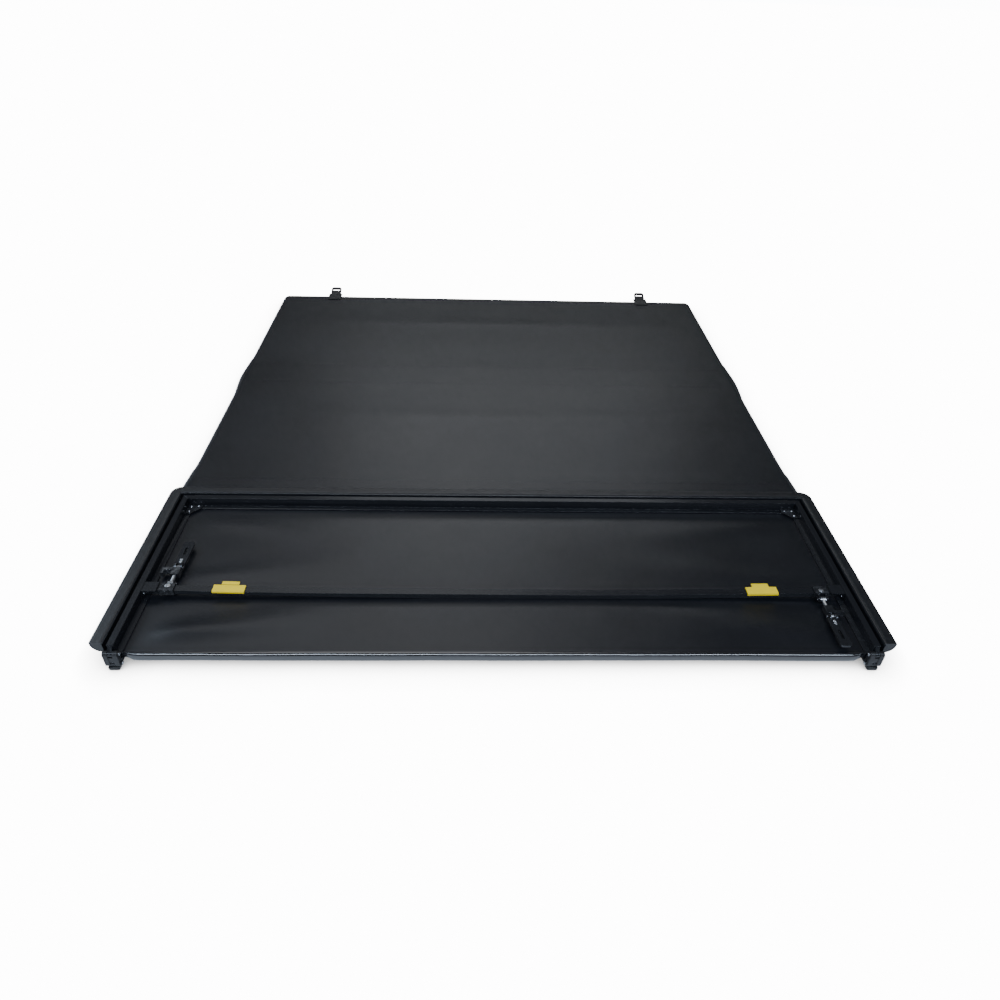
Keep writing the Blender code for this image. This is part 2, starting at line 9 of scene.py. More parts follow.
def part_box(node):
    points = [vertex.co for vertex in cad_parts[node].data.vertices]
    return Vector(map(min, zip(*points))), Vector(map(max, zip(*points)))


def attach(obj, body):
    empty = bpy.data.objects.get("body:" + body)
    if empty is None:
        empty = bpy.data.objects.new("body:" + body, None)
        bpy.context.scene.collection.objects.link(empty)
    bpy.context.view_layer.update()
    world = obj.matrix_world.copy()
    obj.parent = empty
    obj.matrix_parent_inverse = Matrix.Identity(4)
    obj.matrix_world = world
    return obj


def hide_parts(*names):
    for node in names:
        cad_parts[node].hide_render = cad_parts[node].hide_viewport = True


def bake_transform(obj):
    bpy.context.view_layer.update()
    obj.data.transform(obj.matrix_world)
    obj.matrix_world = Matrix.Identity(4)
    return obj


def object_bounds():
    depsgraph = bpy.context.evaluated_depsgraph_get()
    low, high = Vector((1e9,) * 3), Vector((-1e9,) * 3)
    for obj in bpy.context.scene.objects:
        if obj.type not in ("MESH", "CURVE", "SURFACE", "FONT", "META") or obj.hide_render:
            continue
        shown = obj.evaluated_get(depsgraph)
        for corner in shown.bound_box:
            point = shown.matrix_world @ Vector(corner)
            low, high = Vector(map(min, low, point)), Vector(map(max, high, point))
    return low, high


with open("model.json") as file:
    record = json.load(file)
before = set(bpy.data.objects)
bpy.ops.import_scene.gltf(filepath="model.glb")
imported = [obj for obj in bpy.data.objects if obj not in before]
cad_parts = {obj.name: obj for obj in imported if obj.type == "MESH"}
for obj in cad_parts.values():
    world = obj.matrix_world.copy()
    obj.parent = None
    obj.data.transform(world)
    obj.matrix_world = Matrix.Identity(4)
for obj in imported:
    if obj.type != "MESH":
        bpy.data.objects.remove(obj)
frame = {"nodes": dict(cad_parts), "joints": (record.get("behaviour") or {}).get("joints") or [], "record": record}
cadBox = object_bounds()
print("frame loaded:", len(frame["nodes"]), "nodes")

nodeBody = {}
for bodyName, names in frame["record"]["behaviour"]["bodies"].items():
    for nodeName in names:
        nodeBody[nodeName] = bodyName
pinAt = {j["name"]: Vector(j["pos_m"]) for j in frame["joints"] if "pos_m" in j}
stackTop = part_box("tail_bar")[1].z        # underside of the folded panel's frame, which faces up
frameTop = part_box("side_rail_left_1")[1].z
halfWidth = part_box("edge_hem_cab")[1].x
panelBody = {number: f"panel_{number}" for number in (1, 2, 3, 4)}


def ease(t):
    t = min(max(t, 0.0), 1.0)
    return t * t * (3 - 2 * t)


def mix(a, b, t):
    return a + (b - a) * t


def newGroup(name, inputs, outputs):
    group = bpy.data.node_groups.new(name, "ShaderNodeTree")
    for label, kind, value in inputs:
        socket = group.interface.new_socket(label, in_out="INPUT", socket_type=kind)
        socket.default_value = value
    for label, kind in outputs:
        group.interface.new_socket(label, in_out="OUTPUT", socket_type=kind)
    return group, group.nodes.new("NodeGroupInput"), group.nodes.new("NodeGroupOutput")


def addNode(tree, kind, settings=None, values=None):
    node = tree.nodes.new(kind)
    for key, value in (settings or {}).items():
        setattr(node, key, value)
    for key, value in (values or {}).items():
        node.inputs[key].default_value = value
    return node


def addMath(tree, operation, a, b=None, clamp=False):
    node = addNode(tree, "ShaderNodeMath", {"operation": operation, "use_clamp": clamp})
    for index, value in enumerate((a, b)):
        if value is None:
            continue
        if isinstance(value, (int, float)):
            node.inputs[index].default_value = value
        else:
            tree.links.new(value, node.inputs[index])
    return node.outputs[0]


def addRange(tree, value, low, high, toLow=0.0, toHigh=1.0):
    values = {"From Min": low, "From Max": high, "To Min": toLow, "To Max": toHigh}
    node = addNode(tree, "ShaderNodeMapRange", {"clamp": True}, values)
    tree.links.new(value, node.inputs["Value"])
    return node.outputs["Result"]


def addBlend(tree, factor, a, b):
    node = addNode(tree, "ShaderNodeMix", {"data_type": "RGBA"})
    tree.links.new(factor, node.inputs["Factor"])
    for socket, value in ((node.inputs[6], a), (node.inputs[7], b)):
        if isinstance(value, tuple):
            socket.default_value = (*value, 1)
        else:
            tree.links.new(value, socket)
    return node.outputs[2]


def addWeighted(tree, a, shareA, b, shareB):  # a and b, each times its share, added up
    return addMath(tree, "ADD", addMath(tree, "MULTIPLY", a, shareA), addMath(tree, "MULTIPLY", b, shareB))


def scaledNoise(tree, place, scale, detail=3.0, rough=0.5):
    node = addNode(tree, "ShaderNodeTexNoise", None, {"Detail": detail, "Roughness": rough})
    tree.links.new(place, node.inputs["Vector"])
    if isinstance(scale, (int, float)):
        node.inputs["Scale"].default_value = scale
    else:
        tree.links.new(scale, node.inputs["Scale"])
    return node.outputs["Fac"]


def objectPlace(tree):
    return addNode(tree, "ShaderNodeTexCoord").outputs["Object"]


def makePebbleGroup():  # leather-like pebbles pressed into vinyl, with a slow drift in tone
    group, given, out = newGroup(
        "vinylPebble",
        [("Pebble Scale", "NodeSocketFloat", 720.0), ("Pebble Depth", "NodeSocketFloat", 0.6),
         ("Crease Depth", "NodeSocketFloat", 0.4)],
        [("Height", "NodeSocketFloat"), ("Tone", "NodeSocketFloat")],
    )
    place = objectPlace(group)
    warp = addNode(group, "ShaderNodeTexNoise", None, {"Scale": 210.0, "Detail": 2.0})
    group.links.new(place, warp.inputs["Vector"])
    moved = addNode(group, "ShaderNodeVectorMath", {"operation": "MULTIPLY_ADD"})
    moved.inputs[1].default_value = (0.0016, 0.0016, 0.0016)
    group.links.new(warp.outputs["Color"], moved.inputs[0])
    group.links.new(place, moved.inputs[2])
    cells = addNode(group, "ShaderNodeTexVoronoi", {"feature": "SMOOTH_F1"}, {"Smoothness": 0.6})
    group.links.new(moved.outputs[0], cells.inputs["Vector"])
    group.links.new(given.outputs["Pebble Scale"], cells.inputs["Scale"])
    pebble = addRange(group, cells.outputs["Distance"], 0.1, 0.75, 1.0, 0.0)
    crease = addRange(group, scaledNoise(group, place, 95.0, 4.0, 0.62), 0.3, 0.7)
    drift = scaledNoise(group, place, 3.5, 3.0, 0.55)
    height = addMath(group, "MULTIPLY", pebble, given.outputs["Pebble Depth"])
    creased = addMath(group, "MULTIPLY", crease, given.outputs["Crease Depth"])
    group.links.new(addMath(group, "ADD", height, creased), out.inputs["Height"])
    group.links.new(addWeighted(group, pebble, 0.35, drift, 0.65), out.inputs["Tone"])
    return group


def makeWeaveGroup():  # the scrim's threads showing through the coated back of the vinyl
    group, given, out = newGroup(
        "scrimWeave",
        [("Thread Scale", "NodeSocketFloat", 420.0), ("Depth", "NodeSocketFloat", 0.5)],
        [("Height", "NodeSocketFloat"), ("Tone", "NodeSocketFloat")],
    )
    place = objectPlace(group)
    waves = []
    for axis in ("X", "Y"):
        values = {"Distortion": 0.6, "Detail": 1.0}
        wave = addNode(group, "ShaderNodeTexWave", {"bands_direction": axis}, values)
        group.links.new(place, wave.inputs["Vector"])
        group.links.new(given.outputs["Thread Scale"], wave.inputs["Scale"])
        waves.append(wave.outputs["Fac"])
    woven = addMath(group, "MULTIPLY", waves[0], waves[1])
    group.links.new(addMath(group, "MULTIPLY", woven, given.outputs["Depth"]), out.inputs["Height"])
    patch = scaledNoise(group, place, 5.0, 4.0, 0.6)
    group.links.new(addWeighted(group, woven, 0.3, patch, 0.7), out.inputs["Tone"])
    return group


def makeWearAndHighlightGroup():  # where handling rubs an edge bright, broken up by noise; on the clamps and brackets it is turned up so that the bright edges also serve as painted highlights
    group, given, out = newGroup(
        "edgeWearAndHighlight",
        [("Amount", "NodeSocketFloat", 0.5), ("Break Up", "NodeSocketFloat", 60.0)],
        [("Mask", "NodeSocketFloat")],
    )
    bend = addNode(group, "ShaderNodeNewGeometry").outputs["Pointiness"]
    edge = addRange(group, bend, 0.555, 0.66)
    speckle = scaledNoise(group, objectPlace(group), given.outputs["Break Up"], 5.0, 0.65)
    broken = addRange(group, speckle, 0.42, 0.62)
    worn = addMath(group, "MULTIPLY", edge, broken)
    group.links.new(addMath(group, "MULTIPLY", worn, given.outputs["Amount"], True), out.inputs["Mask"])
    return group


def makeDustGroup():  # a thin uneven film of dust and finger marks
    group, given, out = newGroup(
        "dustFilm",
        [("Amount", "NodeSocketFloat", 0.3), ("Patch Scale", "NodeSocketFloat", 7.0)],
        [("Mask", "NodeSocketFloat")],
    )
    place = objectPlace(group)
    drift = scaledNoise(group, place, given.outputs["Patch Scale"], 6.0, 0.65)
    patches = addRange(group, drift, 0.45, 0.75)
    specks = addRange(group, scaledNoise(group, place, 340.0, 2.0, 0.5), 0.62, 0.74)
    film = addWeighted(group, patches, 0.7, specks, 0.3)
    group.links.new(addMath(group, "MULTIPLY", film, given.outputs["Amount"], True), out.inputs["Mask"])
    return group


def makeCoatGroup():  # orange peel and die lines under a powder coat
    group, given, out = newGroup(
        "coatTexture",
        [("Peel Scale", "NodeSocketFloat", 900.0), ("Peel", "NodeSocketFloat", 0.5),
         ("Die Lines", "NodeSocketFloat", 0.3), ("Stretch", "NodeSocketVector", (1.0, 1.0, 1.0))],
        [("Height", "NodeSocketFloat"), ("Tone", "NodeSocketFloat")],
    )
    place = objectPlace(group)
    peel = scaledNoise(group, place, given.outputs["Peel Scale"], 2.0, 0.5)
    mapping = addNode(group, "ShaderNodeMapping")
    group.links.new(place, mapping.inputs["Vector"])
    group.links.new(given.outputs["Stretch"], mapping.inputs["Scale"])
    lines = scaledNoise(group, mapping.outputs[0], 260.0, 3.0, 0.6)
    height = addMath(
        group, "ADD", addMath(group, "MULTIPLY", peel, given.outputs["Peel"]),
        addMath(group, "MULTIPLY", lines, given.outputs["Die Lines"]),
    )
    group.links.new(height, out.inputs["Height"])
    group.links.new(addWeighted(group, lines, 0.5, peel, 0.5), out.inputs["Tone"])
    return group


pebbleGroup = makePebbleGroup()
weaveGroup = makeWeaveGroup()
wearAndHighlightGroup = makeWearAndHighlightGroup()
dustGroup = makeDustGroup()
coatGroup = makeCoatGroup()
print("shader groups built")


def place(tree, group, values):
    node = tree.nodes.new("ShaderNodeGroup")
    node.node_tree = group
    for key, value in values.items():
        node.inputs[key].default_value = value
    return node


def makeFinish(name, look):  # one Principled surface from a texture group, dust and, on hard pieces, edge wear that also paints highlights on bright edges
    made = bpy.data.materials.new(name)
    made.use_nodes = True
    tree = made.node_tree
    shader = tree.nodes["Principled BSDF"]
    texture = place(tree, look["texture"], look["textureValues"])
    tone = addRange(tree, texture.outputs["Tone"], look.get("toneLow", 0.25), look.get("toneHigh", 0.75))
    color = addBlend(tree, tone, look["dark"], look["light"])
    dust = place(tree, dustGroup, look["dust"])
    color = addBlend(tree, dust.outputs["Mask"], color, look.get("dustColor", (0.10, 0.10, 0.105)))
    rough = addRange(tree, texture.outputs["Tone"], 0.2, 0.8, look["rough"][0], look["rough"][1])
    if "wear" in look:
        # bright convex edges: bare metal where rubbed, and partly painted highlights
        wear = place(tree, wearAndHighlightGroup, look["wear"])
        color = addBlend(tree, wear.outputs["Mask"], color, look["wearAndHighlightColor"])
        metal = addRange(tree, wear.outputs["Mask"], 0.0, 1.0, look.get("metal", 0.0), 1.0)
        tree.links.new(metal, shader.inputs["Metallic"])
    else:
        shader.inputs["Metallic"].default_value = look.get("metal", 0.0)
    dusty = addMath(tree, "ADD", rough, addMath(tree, "MULTIPLY", dust.outputs["Mask"], 0.35), True)
    tree.links.new(dusty, shader.inputs["Roughness"])
    tree.links.new(color, shader.inputs["Base Color"])
    shader.inputs["Specular IOR Level"].default_value = look.get("specular", 0.5)
    shader.inputs["Coat Weight"].default_value = look.get("coat", 0.0)
    shader.inputs["Coat Roughness"].default_value = look.get("coatRough", 0.2)
    shader.inputs["Sheen Weight"].default_value = look.get("sheen", 0.0)
    shader.inputs["Sheen Roughness"].default_value = 0.45
    bump = addNode(tree, "ShaderNodeBump", None, {"Strength": look["bump"], "Distance": look["bumpDepth"]})
    tree.links.new(texture.outputs["Height"], bump.inputs["Height"])
    tree.links.new(bump.outputs["Normal"], shader.inputs["Normal"])
    return made


alongRail = (1.0, 0.01, 1.0)
alongBar = (0.01, 1.0, 1.0)
evenly = (1.0, 1.0, 1.0)


def coated(peelScale, peel, lines, stretch):
    values = {"Peel Scale": peelScale, "Peel": peel, "Die Lines": lines, "Stretch": stretch}
    return {"texture": coatGroup, "textureValues": values}


def woven(threadScale, depth):
    return {"texture": weaveGroup, "textureValues": {"Thread Scale": threadScale, "Depth": depth}}


def toned(dark, light, rough, dust, patch):  # rough runs from the low spots to the high ones
    return {"dark": dark, "light": light, "rough": rough, "dust": {"Amount": dust, "Patch Scale": patch}}


looks = {
    "vinylFace": {
        "texture": pebbleGroup,
        "textureValues": {"Pebble Scale": 620.0, "Pebble Depth": 0.6, "Crease Depth": 0.35},
        **toned((0.0040, 0.0044, 0.0062), (0.0082, 0.0088, 0.0116), (0.36, 0.46), 0.045, 4.0),
        "specular": 0.42, "bump": 0.28, "bumpDepth": 0.0006,
        "coat": 0.12, "coatRough": 0.32,
    },
    "vinylBack": {
        **woven(300.0, 0.5),
        **toned((0.0036, 0.0042, 0.0062), (0.0072, 0.0080, 0.0108), (0.32, 0.42), 0.04, 6.0),
        "specular": 0.42, "bump": 0.16, "bumpDepth": 0.0004,
        "coat": 0.15, "coatRough": 0.3,
    },
    "noseBack": {
        **woven(300.0, 0.4),
        **toned((0.0036, 0.0044, 0.0066), (0.0070, 0.0080, 0.0112), (0.18, 0.26), 0.03, 6.0),
        "specular": 0.8, "bump": 0.10, "bumpDepth": 0.0003,
        "coat": 1.0, "coatRough": 0.10,
    },
    "hemBand": {
        **woven(260.0, 0.8),
        **toned((0.0034, 0.0038, 0.0052), (0.0068, 0.0074, 0.0094), (0.36, 0.48), 0.06, 18.0),
        "specular": 0.55, "bump": 0.3, "bumpDepth": 0.0005,
    },
    "railCoat": {
        **coated(1100.0, 0.5, 0.35, alongRail),
        **toned((0.006, 0.0065, 0.0085), (0.014, 0.0155, 0.019), (0.20, 0.30), 0.05, 14.0),
        "metal": 0.25, "bump": 0.14, "bumpDepth": 0.0003,
        "wear": {"Amount": 0.16, "Break Up": 70.0}, "wearAndHighlightColor": (0.10, 0.105, 0.115),
    },
    "hingeBlack": {
        **coated(520.0, 0.9, 0.1, evenly),
        **toned((0.005, 0.005, 0.006), (0.011, 0.011, 0.0125), (0.32, 0.46), 0.08, 40.0),
        "metal": 0.1, "bump": 0.3, "bumpDepth": 0.0004,
        "wear": {"Amount": 0.2, "Break Up": 160.0}, "wearAndHighlightColor": (0.12, 0.12, 0.125),
    },
    "bracketCoat": {
        **coated(800.0, 0.6, 0.25, evenly),
        **toned((0.008, 0.008, 0.010), (0.022, 0.023, 0.027), (0.18, 0.30), 0.08, 30.0),
        "metal": 0.4, "bump": 0.2, "bumpDepth": 0.0003,
        # edge wear turned up: bare metal at rubbed edges, and partly painted highlights along the edges
        "wear": {"Amount": 0.6, "Break Up": 120.0}, "wearAndHighlightColor": (0.42, 0.43, 0.45),
    },
    "clampSteel": {
        **coated(700.0, 0.5, 0.4, (1.0, 0.2, 1.0)),
        **toned((0.020, 0.021, 0.025), (0.060, 0.063, 0.070), (0.16, 0.28), 0.05, 34.0),
        "metal": 0.75, "bump": 0.22, "bumpDepth": 0.0003,
        # edge wear turned up: bare metal at rubbed edges, and partly painted highlights along the edges
        "wear": {"Amount": 0.75, "Break Up": 140.0}, "wearAndHighlightColor": (0.50, 0.51, 0.53),
    },
    "bareSteel": {
        **coated(1500.0, 0.3, 0.6, (1.0, 1.0, 0.05)),
        **toned((0.36, 0.37, 0.39), (0.62, 0.63, 0.65), (0.22, 0.36), 0.12, 90.0),
        "metal": 1.0, "bump": 0.15, "bumpDepth": 0.0002,
    },
    "padYellow": {
        **coated(620.0, 0.8, 0.2, evenly),
        **toned((0.92, 0.62, 0.008), (1.0, 0.76, 0.02), (0.32, 0.44), 0.18, 50.0),
        "dustColor": (0.22, 0.16, 0.05), "bump": 0.25,
        "bumpDepth": 0.0003,
    },
    "buckleBlack": {
        **coated(480.0, 1.0, 0.1, evenly),
        **toned((0.004, 0.004, 0.0045), (0.008, 0.008, 0.009), (0.40, 0.55), 0.12, 40.0),
        "bump": 0.3, "bumpDepth": 0.0003,
    },
    "webbing": {
        **woven(190.0, 1.0),
        **toned((0.008, 0.008, 0.009), (0.030, 0.030, 0.032), (0.78, 0.92), 0.14, 40.0),
        "bump": 0.8, "bumpDepth": 0.0006, "sheen": 0.25,
    },
    "threadGrey": {
        **woven(900.0, 1.0),
        **toned((0.030, 0.031, 0.034), (0.065, 0.067, 0.072), (0.6, 0.8), 0.1, 40.0),
        "bump": 0.5, "bumpDepth": 0.0002, "sheen": 0.2,
    },
    "sealRubber": {
        **coated(420.0, 1.0, 0.4, alongBar),
        **toned((0.004, 0.004, 0.004), (0.008, 0.008, 0.008), (0.62, 0.80), 0.16, 20.0),
        "bump": 0.3, "bumpDepth": 0.0003,
    },
}
looks["barCoat"] = {**looks["railCoat"], **coated(1100.0, 0.5, 0.35, alongBar)}
finishes = {name: makeFinish(name, look) for name, look in looks.items()}
print("finishes made:", len(finishes))


def addPiece(bm, name, body, finishNames, smoothAngle=35):
    mesh = bpy.data.meshes.new(name)
    bm.normal_update()
    bm.to_mesh(mesh)
    bm.free()
    piece = bpy.data.objects.new(name, mesh)
    bpy.context.scene.collection.objects.link(piece)
    for finishName in finishNames:
        mesh.materials.append(finishes[finishName])
    mesh.shade_smooth()
    mesh.set_sharp_from_angle(angle=math.radians(smoothAngle))
    if body:
        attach(piece, body)
    return piece


def facingOut(bm):
    bmesh.ops.recalc_face_normals(bm, faces=bm.faces)
    if bm.calc_volume(signed=True) < 0:
        bmesh.ops.reverse_faces(bm, faces=bm.faces)


skin = {
    "thickness": 0.0012,
    "frameGap": 0.0003,       # between the frame and the sheet
    "ringWidth": 0.026,       # the hem, from the cover's edge inwards
    "edgeRound": 0.0215,
    "roundFoot": 0.005,       # height where the round edge turns straight
    "flapFoot": 0.0095,
    "flapBottom": 0.0075,
    "flapEdge": 0.0030,
    "bulge": 0.0078,          # loose vinyl standing out beside a hinge
    "bulgeReach": 0.150,
    "sideRipple": 0.25,       # unevenness of the loose sides, as a share
    "edgeCorner": 0.0014,     # round between the hem's face and its edge
    "tautCrown": 0.45,        # share of the crown that rises sharply to the bow
    "bowFlat": 0.010,         # half width that stays tight on a bow
    "endFree": 0.06,          # length over which the sheet becomes free of its ends
    "wrapFree": 0.045,
    "wave": 0.0009,
    "foldedWave": 0.0022,
    "sink": 0.0006,
    "stripStep": 0.004,
    "tuck": 0.0195,           # how far the vinyl stands in from the edge beside the folded hinge
    "hemEnd": 0.006,          # length over which a hem runs out into a loose flap
    "crown": 0.0025,
    "across": 104,
    "step": 0.0145,
    "arcSteps": 9,
    "bandSteps": 4,
    "innerSteps": 7,
    "cornerSteps": 7,
}
outerSheet = frameTop + skin["frameGap"] + skin["thickness"]
innerSheet = frameTop + skin["frameGap"]
hingeMiddle = {
    "12": (pinAt["fold_12"].y + pinAt["fold_12_second"].y) / 2,
    "23": (pinAt["fold_23"].y + pinAt["fold_23_second"].y) / 2,
}
bowMiddle = {n: (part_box(f"bow_{n}")[0].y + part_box(f"bow_{n}")[1].y) / 2 for n in (1, 2, 3, 4)}


def bulgeAt(y):
    out = 0.0
    for middle in hingeMiddle.values():
        away = abs(y - middle) / skin["bulgeReach"]
        if away < 1:
            out = max(out, skin["bulge"] * (0.5 + 0.5 * math.cos(math.pi * away)))
    return out * (1 + skin["sideRipple"] * noise.noise(Vector((3.1, y * 14, 0.4))))


def sideBulge(number, y):  # the vinyl is tucked in beside the folded hinge, and loose beside the open ones
    if number == 4:
        return 0.0
    if number == 3 and y < hemSpans[3][0] + 0.004:
        return -skin["tuck"] * ease((hemSpans[3][0] + 0.004 - y) / 0.010)
    return bulgeAt(y)


def ripple(x, y, layer):  # broad soft unevenness of stretched vinyl, about one either way
    broad = noise.noise(Vector((x * 2.2, y * 3.4, layer)))
    fine = noise.noise(Vector((x * 7.5, y * 10.0, layer + 5.7)))
    return 0.75 * broad + 0.35 * fine


def creaseField(x, y, fromX, fromY, toX, toY, width):  # a long soft crease that fades along its run
    run = Vector((toX - fromX, toY - fromY))
    length = run.length
    along = ((x - fromX) * run.x + (y - fromY) * run.y) / length
    side = ((x - fromX) * run.y - (y - fromY) * run.x) / length
    t = along / length
    if t < -0.05 or t > 1:
        return 0.0
    spread = width * (1 + 1.8 * max(t, 0))
    return math.exp(-((side / spread) ** 2.0)) * ease((t + 0.05) / 0.12) * (1 - ease(t))


sheetEnds = {
    1: (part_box("vinyl_panel_1")[0].y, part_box("edge_hem_cab")[1].y),
    2: (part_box("vinyl_panel_2")[0].y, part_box("vinyl_panel_2")[1].y),
    3: (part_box("vinyl_panel_3")[0].y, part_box("vinyl_panel_3")[1].y),
    4: (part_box("vinyl_panel_4")[0].y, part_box("edge_hem_tail")[1].y),
}
hemSpans = {
    1: (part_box("edge_hem_cab")[0].y, 9.0),
    2: (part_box("edge_hem_left_2")[0].y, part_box("edge_hem_left_2")[1].y),
    3: (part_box("edge_hem_left_3")[0].y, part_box("edge_hem_left_3")[1].y),
    4: (-9.0, 9.0),
}
wrappedEnd = {1: True, 2: False, 3: False, 4: True}   # at the higher y of the sheet, as it lies


def sheetRise(number, x, y):  # how far the sheet stands off its place on the frame
    low, high = sheetEnds[number]
    bowY = bowMiddle[number]
    if wrappedEnd[number]:
        high -= skin["edgeRound"]
    t = (y - low) / (bowY - low) if y < bowY else (high - y) / (high - bowY)
    t = min(max(t, 0.0), 1.0)
    across = 1 - min(abs(x) / (halfWidth - 0.02), 1.0) ** 2
    tent = skin["crown"] * across * ((1 - skin["tautCrown"]) * t + skin["tautCrown"] * t ** 6)
    offBow = ease((abs(y - bowY) - skin["bowFlat"]) / 0.05)
    inside = ease((halfWidth - 0.070 - abs(x)) / 0.10)
    fromEnds = min(y - low, high - (skin["wrapFree"] if wrappedEnd[number] else 0.0) - y)
    free = offBow * inside * ease(fromEnds / skin["endFree"])
    if number == 4:
        return tent + free * (skin["foldedWave"] * ripple(x, y, 9.1) + foldedCreases(x, y))
    return tent + free * (skin["wave"] * ripple(x, y, number * 1.7) - skin["sink"])


creases = (  # depth, start y, end x, end y and width of each; y is counted from an end or the bow
    (0.0062, "near", 0.035, 0.28, 0.085, 0.012),
    (0.0050, "near", 0.050, 0.12, 0.150, 0.016),
    (0.0042, "bow", 0.04, 0.15, 0.14, 0.020),
    (0.0036, "far", -0.10, 0.20, -0.18, 0.018),
)


def foldedCreases(x, y):  # tension creases that run in from the folded panel's corners
    bases = {"near": sheetEnds[4][0], "bow": bowMiddle[4], "far": sheetEnds[4][1]}
    depth = 0.0
    for side in (-1, 1):
        cornerX = side * (halfWidth - 0.085)
        for deep, base, startY, endX, endY, width in creases:
            origin = bases[base]
            depth -= deep * creaseField(x, y, cornerX, origin + startY, side * endX, origin + endY, width)
    return depth


def hemProfile(hemAmount, bulge):  # section of the wrapped edge, from the top sheet round to its underside
    points = []
    foot = mix(skin["flapFoot"], skin["roundFoot"], hemAmount)
    bottom = mix(skin["flapBottom"], 0.0, hemAmount)
    tall = outerSheet - foot
    radius = skin["edgeRound"]
    points.append((skin["ringWidth"], outerSheet, 0))
    for k in range(skin["arcSteps"] + 1):
        a = math.pi / 2 * (1 + k / skin["arcSteps"])
        points.append((radius + (radius + bulge) * math.cos(a), foot + tall * math.sin(a), 0))
    edge = -bulge
    corner = skin["edgeCorner"]
    points.append((edge, bottom + corner, 0))
    points.append((edge + 0.3 * corner, bottom + 0.3 * corner, 0))
    inner = mix(edge + skin["flapEdge"], skin["ringWidth"] - skin["frameGap"], hemAmount)
    for k in range(skin["bandSteps"] + 1):
        t = k / skin["bandSteps"]
        u = mix(edge + corner, inner - corner * hemAmount, t)
        points.append((u, bottom + 0.0003 * hemAmount * math.sin(math.pi * t), 2))
    wall = skin["thickness"] * 1.6
    for k in range(skin["innerSteps"] + 1):
        t = k / skin["innerSteps"]
        a = math.pi - math.pi / 2 * t
        inTall = tall - skin["thickness"]
        loose = (radius + (radius + bulge - wall) * math.cos(a), foot + inTall * math.sin(a))
        snug = (inner, bottom + corner + (frameTop - corner) * t)
        points.append((mix(loose[0], snug[0], hemAmount), mix(loose[1], snug[1], hemAmount), 1))
    points.append((skin["ringWidth"], innerSheet, 1))
    return points


def stationsBetween(low, high, extra=()):
    count = max(2, round((high - low) / skin["step"]))
    spots = [low + (high - low) * i / count for i in range(count + 1)]
    for spot in extra:
        nearest = min(range(len(spots)), key=lambda i: abs(spots[i] - spot))
        if 0 < nearest < count and abs(spots[nearest] - spot) < skin["step"] * 0.5:
            spots[nearest] = spot
        elif low < spot < high:
            spots.append(spot)
    return sorted(spots)


def buildSkin(number, hemSpan, flip):
    low, high = sheetEnds[number]
    wrap = wrappedEnd[number]
    ring = skin["ringWidth"]
    gridHigh = high - ring if wrap else high
    bowEdges = (bowMiddle[number] - 0.009, bowMiddle[number] + 0.009)
    hemMarks = []
    for edge, away in ((hemSpan[0], 1), (hemSpan[1], -1)):
        hemMarks += [edge, edge + away * skin["hemEnd"]]
    ys = stationsBetween(low, gridHigh, (*bowEdges, *hemMarks))
    inX = halfWidth - ring
    xs = [inX * (2 * i / skin["across"] - 1) for i in range(skin["across"] + 1)]
    bm = bmesh.new()

    def put(x, y, z):
        return bm.verts.new((x, y, stackTop - z if flip else z))

    grids = []
    for level in (outerSheet, innerSheet):
        grids.append([[put(x, y, level + sheetRise(number, x, y)) for x in xs] for y in ys])
    for rows, materialIndex in zip(grids, (0, 1)):
        for near, far in zip(rows, rows[1:]):
            for i in range(len(xs) - 1):
                bm.faces.new((near[i], near[i + 1], far[i + 1], far[i])).material_index = materialIndex

    def hemAt(y):
        return ease((y - hemSpan[0]) / skin["hemEnd"]) * ease((hemSpan[1] - y) / skin["hemEnd"])

    # Route round the cover: up the left side, across a wrapped end, down the right side
    route = [((-inX, y), (-1, 0), (0, j)) for j, y in enumerate(ys)]
    if wrap:
        turns = range(1, skin["cornerSteps"])
        quarter = [math.pi / 2 * k / skin["cornerSteps"] for k in turns]
        last = len(ys) - 1
        route += [((-inX, gridHigh), (-math.cos(a), math.sin(a)), (0, last)) for a in quarter]
        route += [((x, gridHigh), (0, 1), (i, last)) for i, x in enumerate(xs)]
        route += [((inX, gridHigh), (math.sin(a), math.cos(a)), (len(xs) - 1, last)) for a in quarter]
    rightSide = [((inX, y), (1, 0), (len(xs) - 1, j)) for j, y in enumerate(ys)]
    routes = [route + rightSide[::-1]] if wrap else [route, rightSide[::-1]]
    for path in routes:
        rings = []
        for (x, y), (dx, dy), (i, j) in path:
            side = abs(dx) == 1 and dy == 0
            profile = hemProfile(hemAt(y) if side else 1.0, sideBulge(number, y) if side else 0.0)
            column = [grids[0][j][i]]
            for u, z, kind in profile[1:-1]:
                reach = ring - u
                column.append(put(x + dx * reach, y + dy * reach, z))
            column.append(grids[1][j][i])
            rings.append((column, profile))
        for (near, profile), (far, _) in zip(rings, rings[1:]):
            for k in range(len(near) - 1):
                corners = []
                for v in (near[k], near[k + 1], far[k + 1], far[k]):
                    if v not in corners:
                        corners.append(v)
                if len(corners) > 2 and bm.faces.get(corners) is None:
                    kind = profile[k + 1][2] if profile[k][2] != 1 else 1
                    bm.faces.new(corners).material_index = kind
    for edgeLoop in openLoops(bm):
        bm.faces.new(edgeLoop).material_index = 1
    facingOut(bm)
    return bm


def openLoops(bm):  # each boundary of the surface as an ordered list of its corners
    left = {e for e in bm.edges if e.is_boundary}
    loops = []
    while left:
        edge = left.pop()
        start, here = edge.verts
        loop = [start, here]
        while here != start:
            following = next((e for e in here.link_edges if e in left), None)
            if following is None:
                break
            left.discard(following)
            here = following.other_vert(here)
            if here != start:
                loop.append(here)
        loops.append(loop)
    return loops


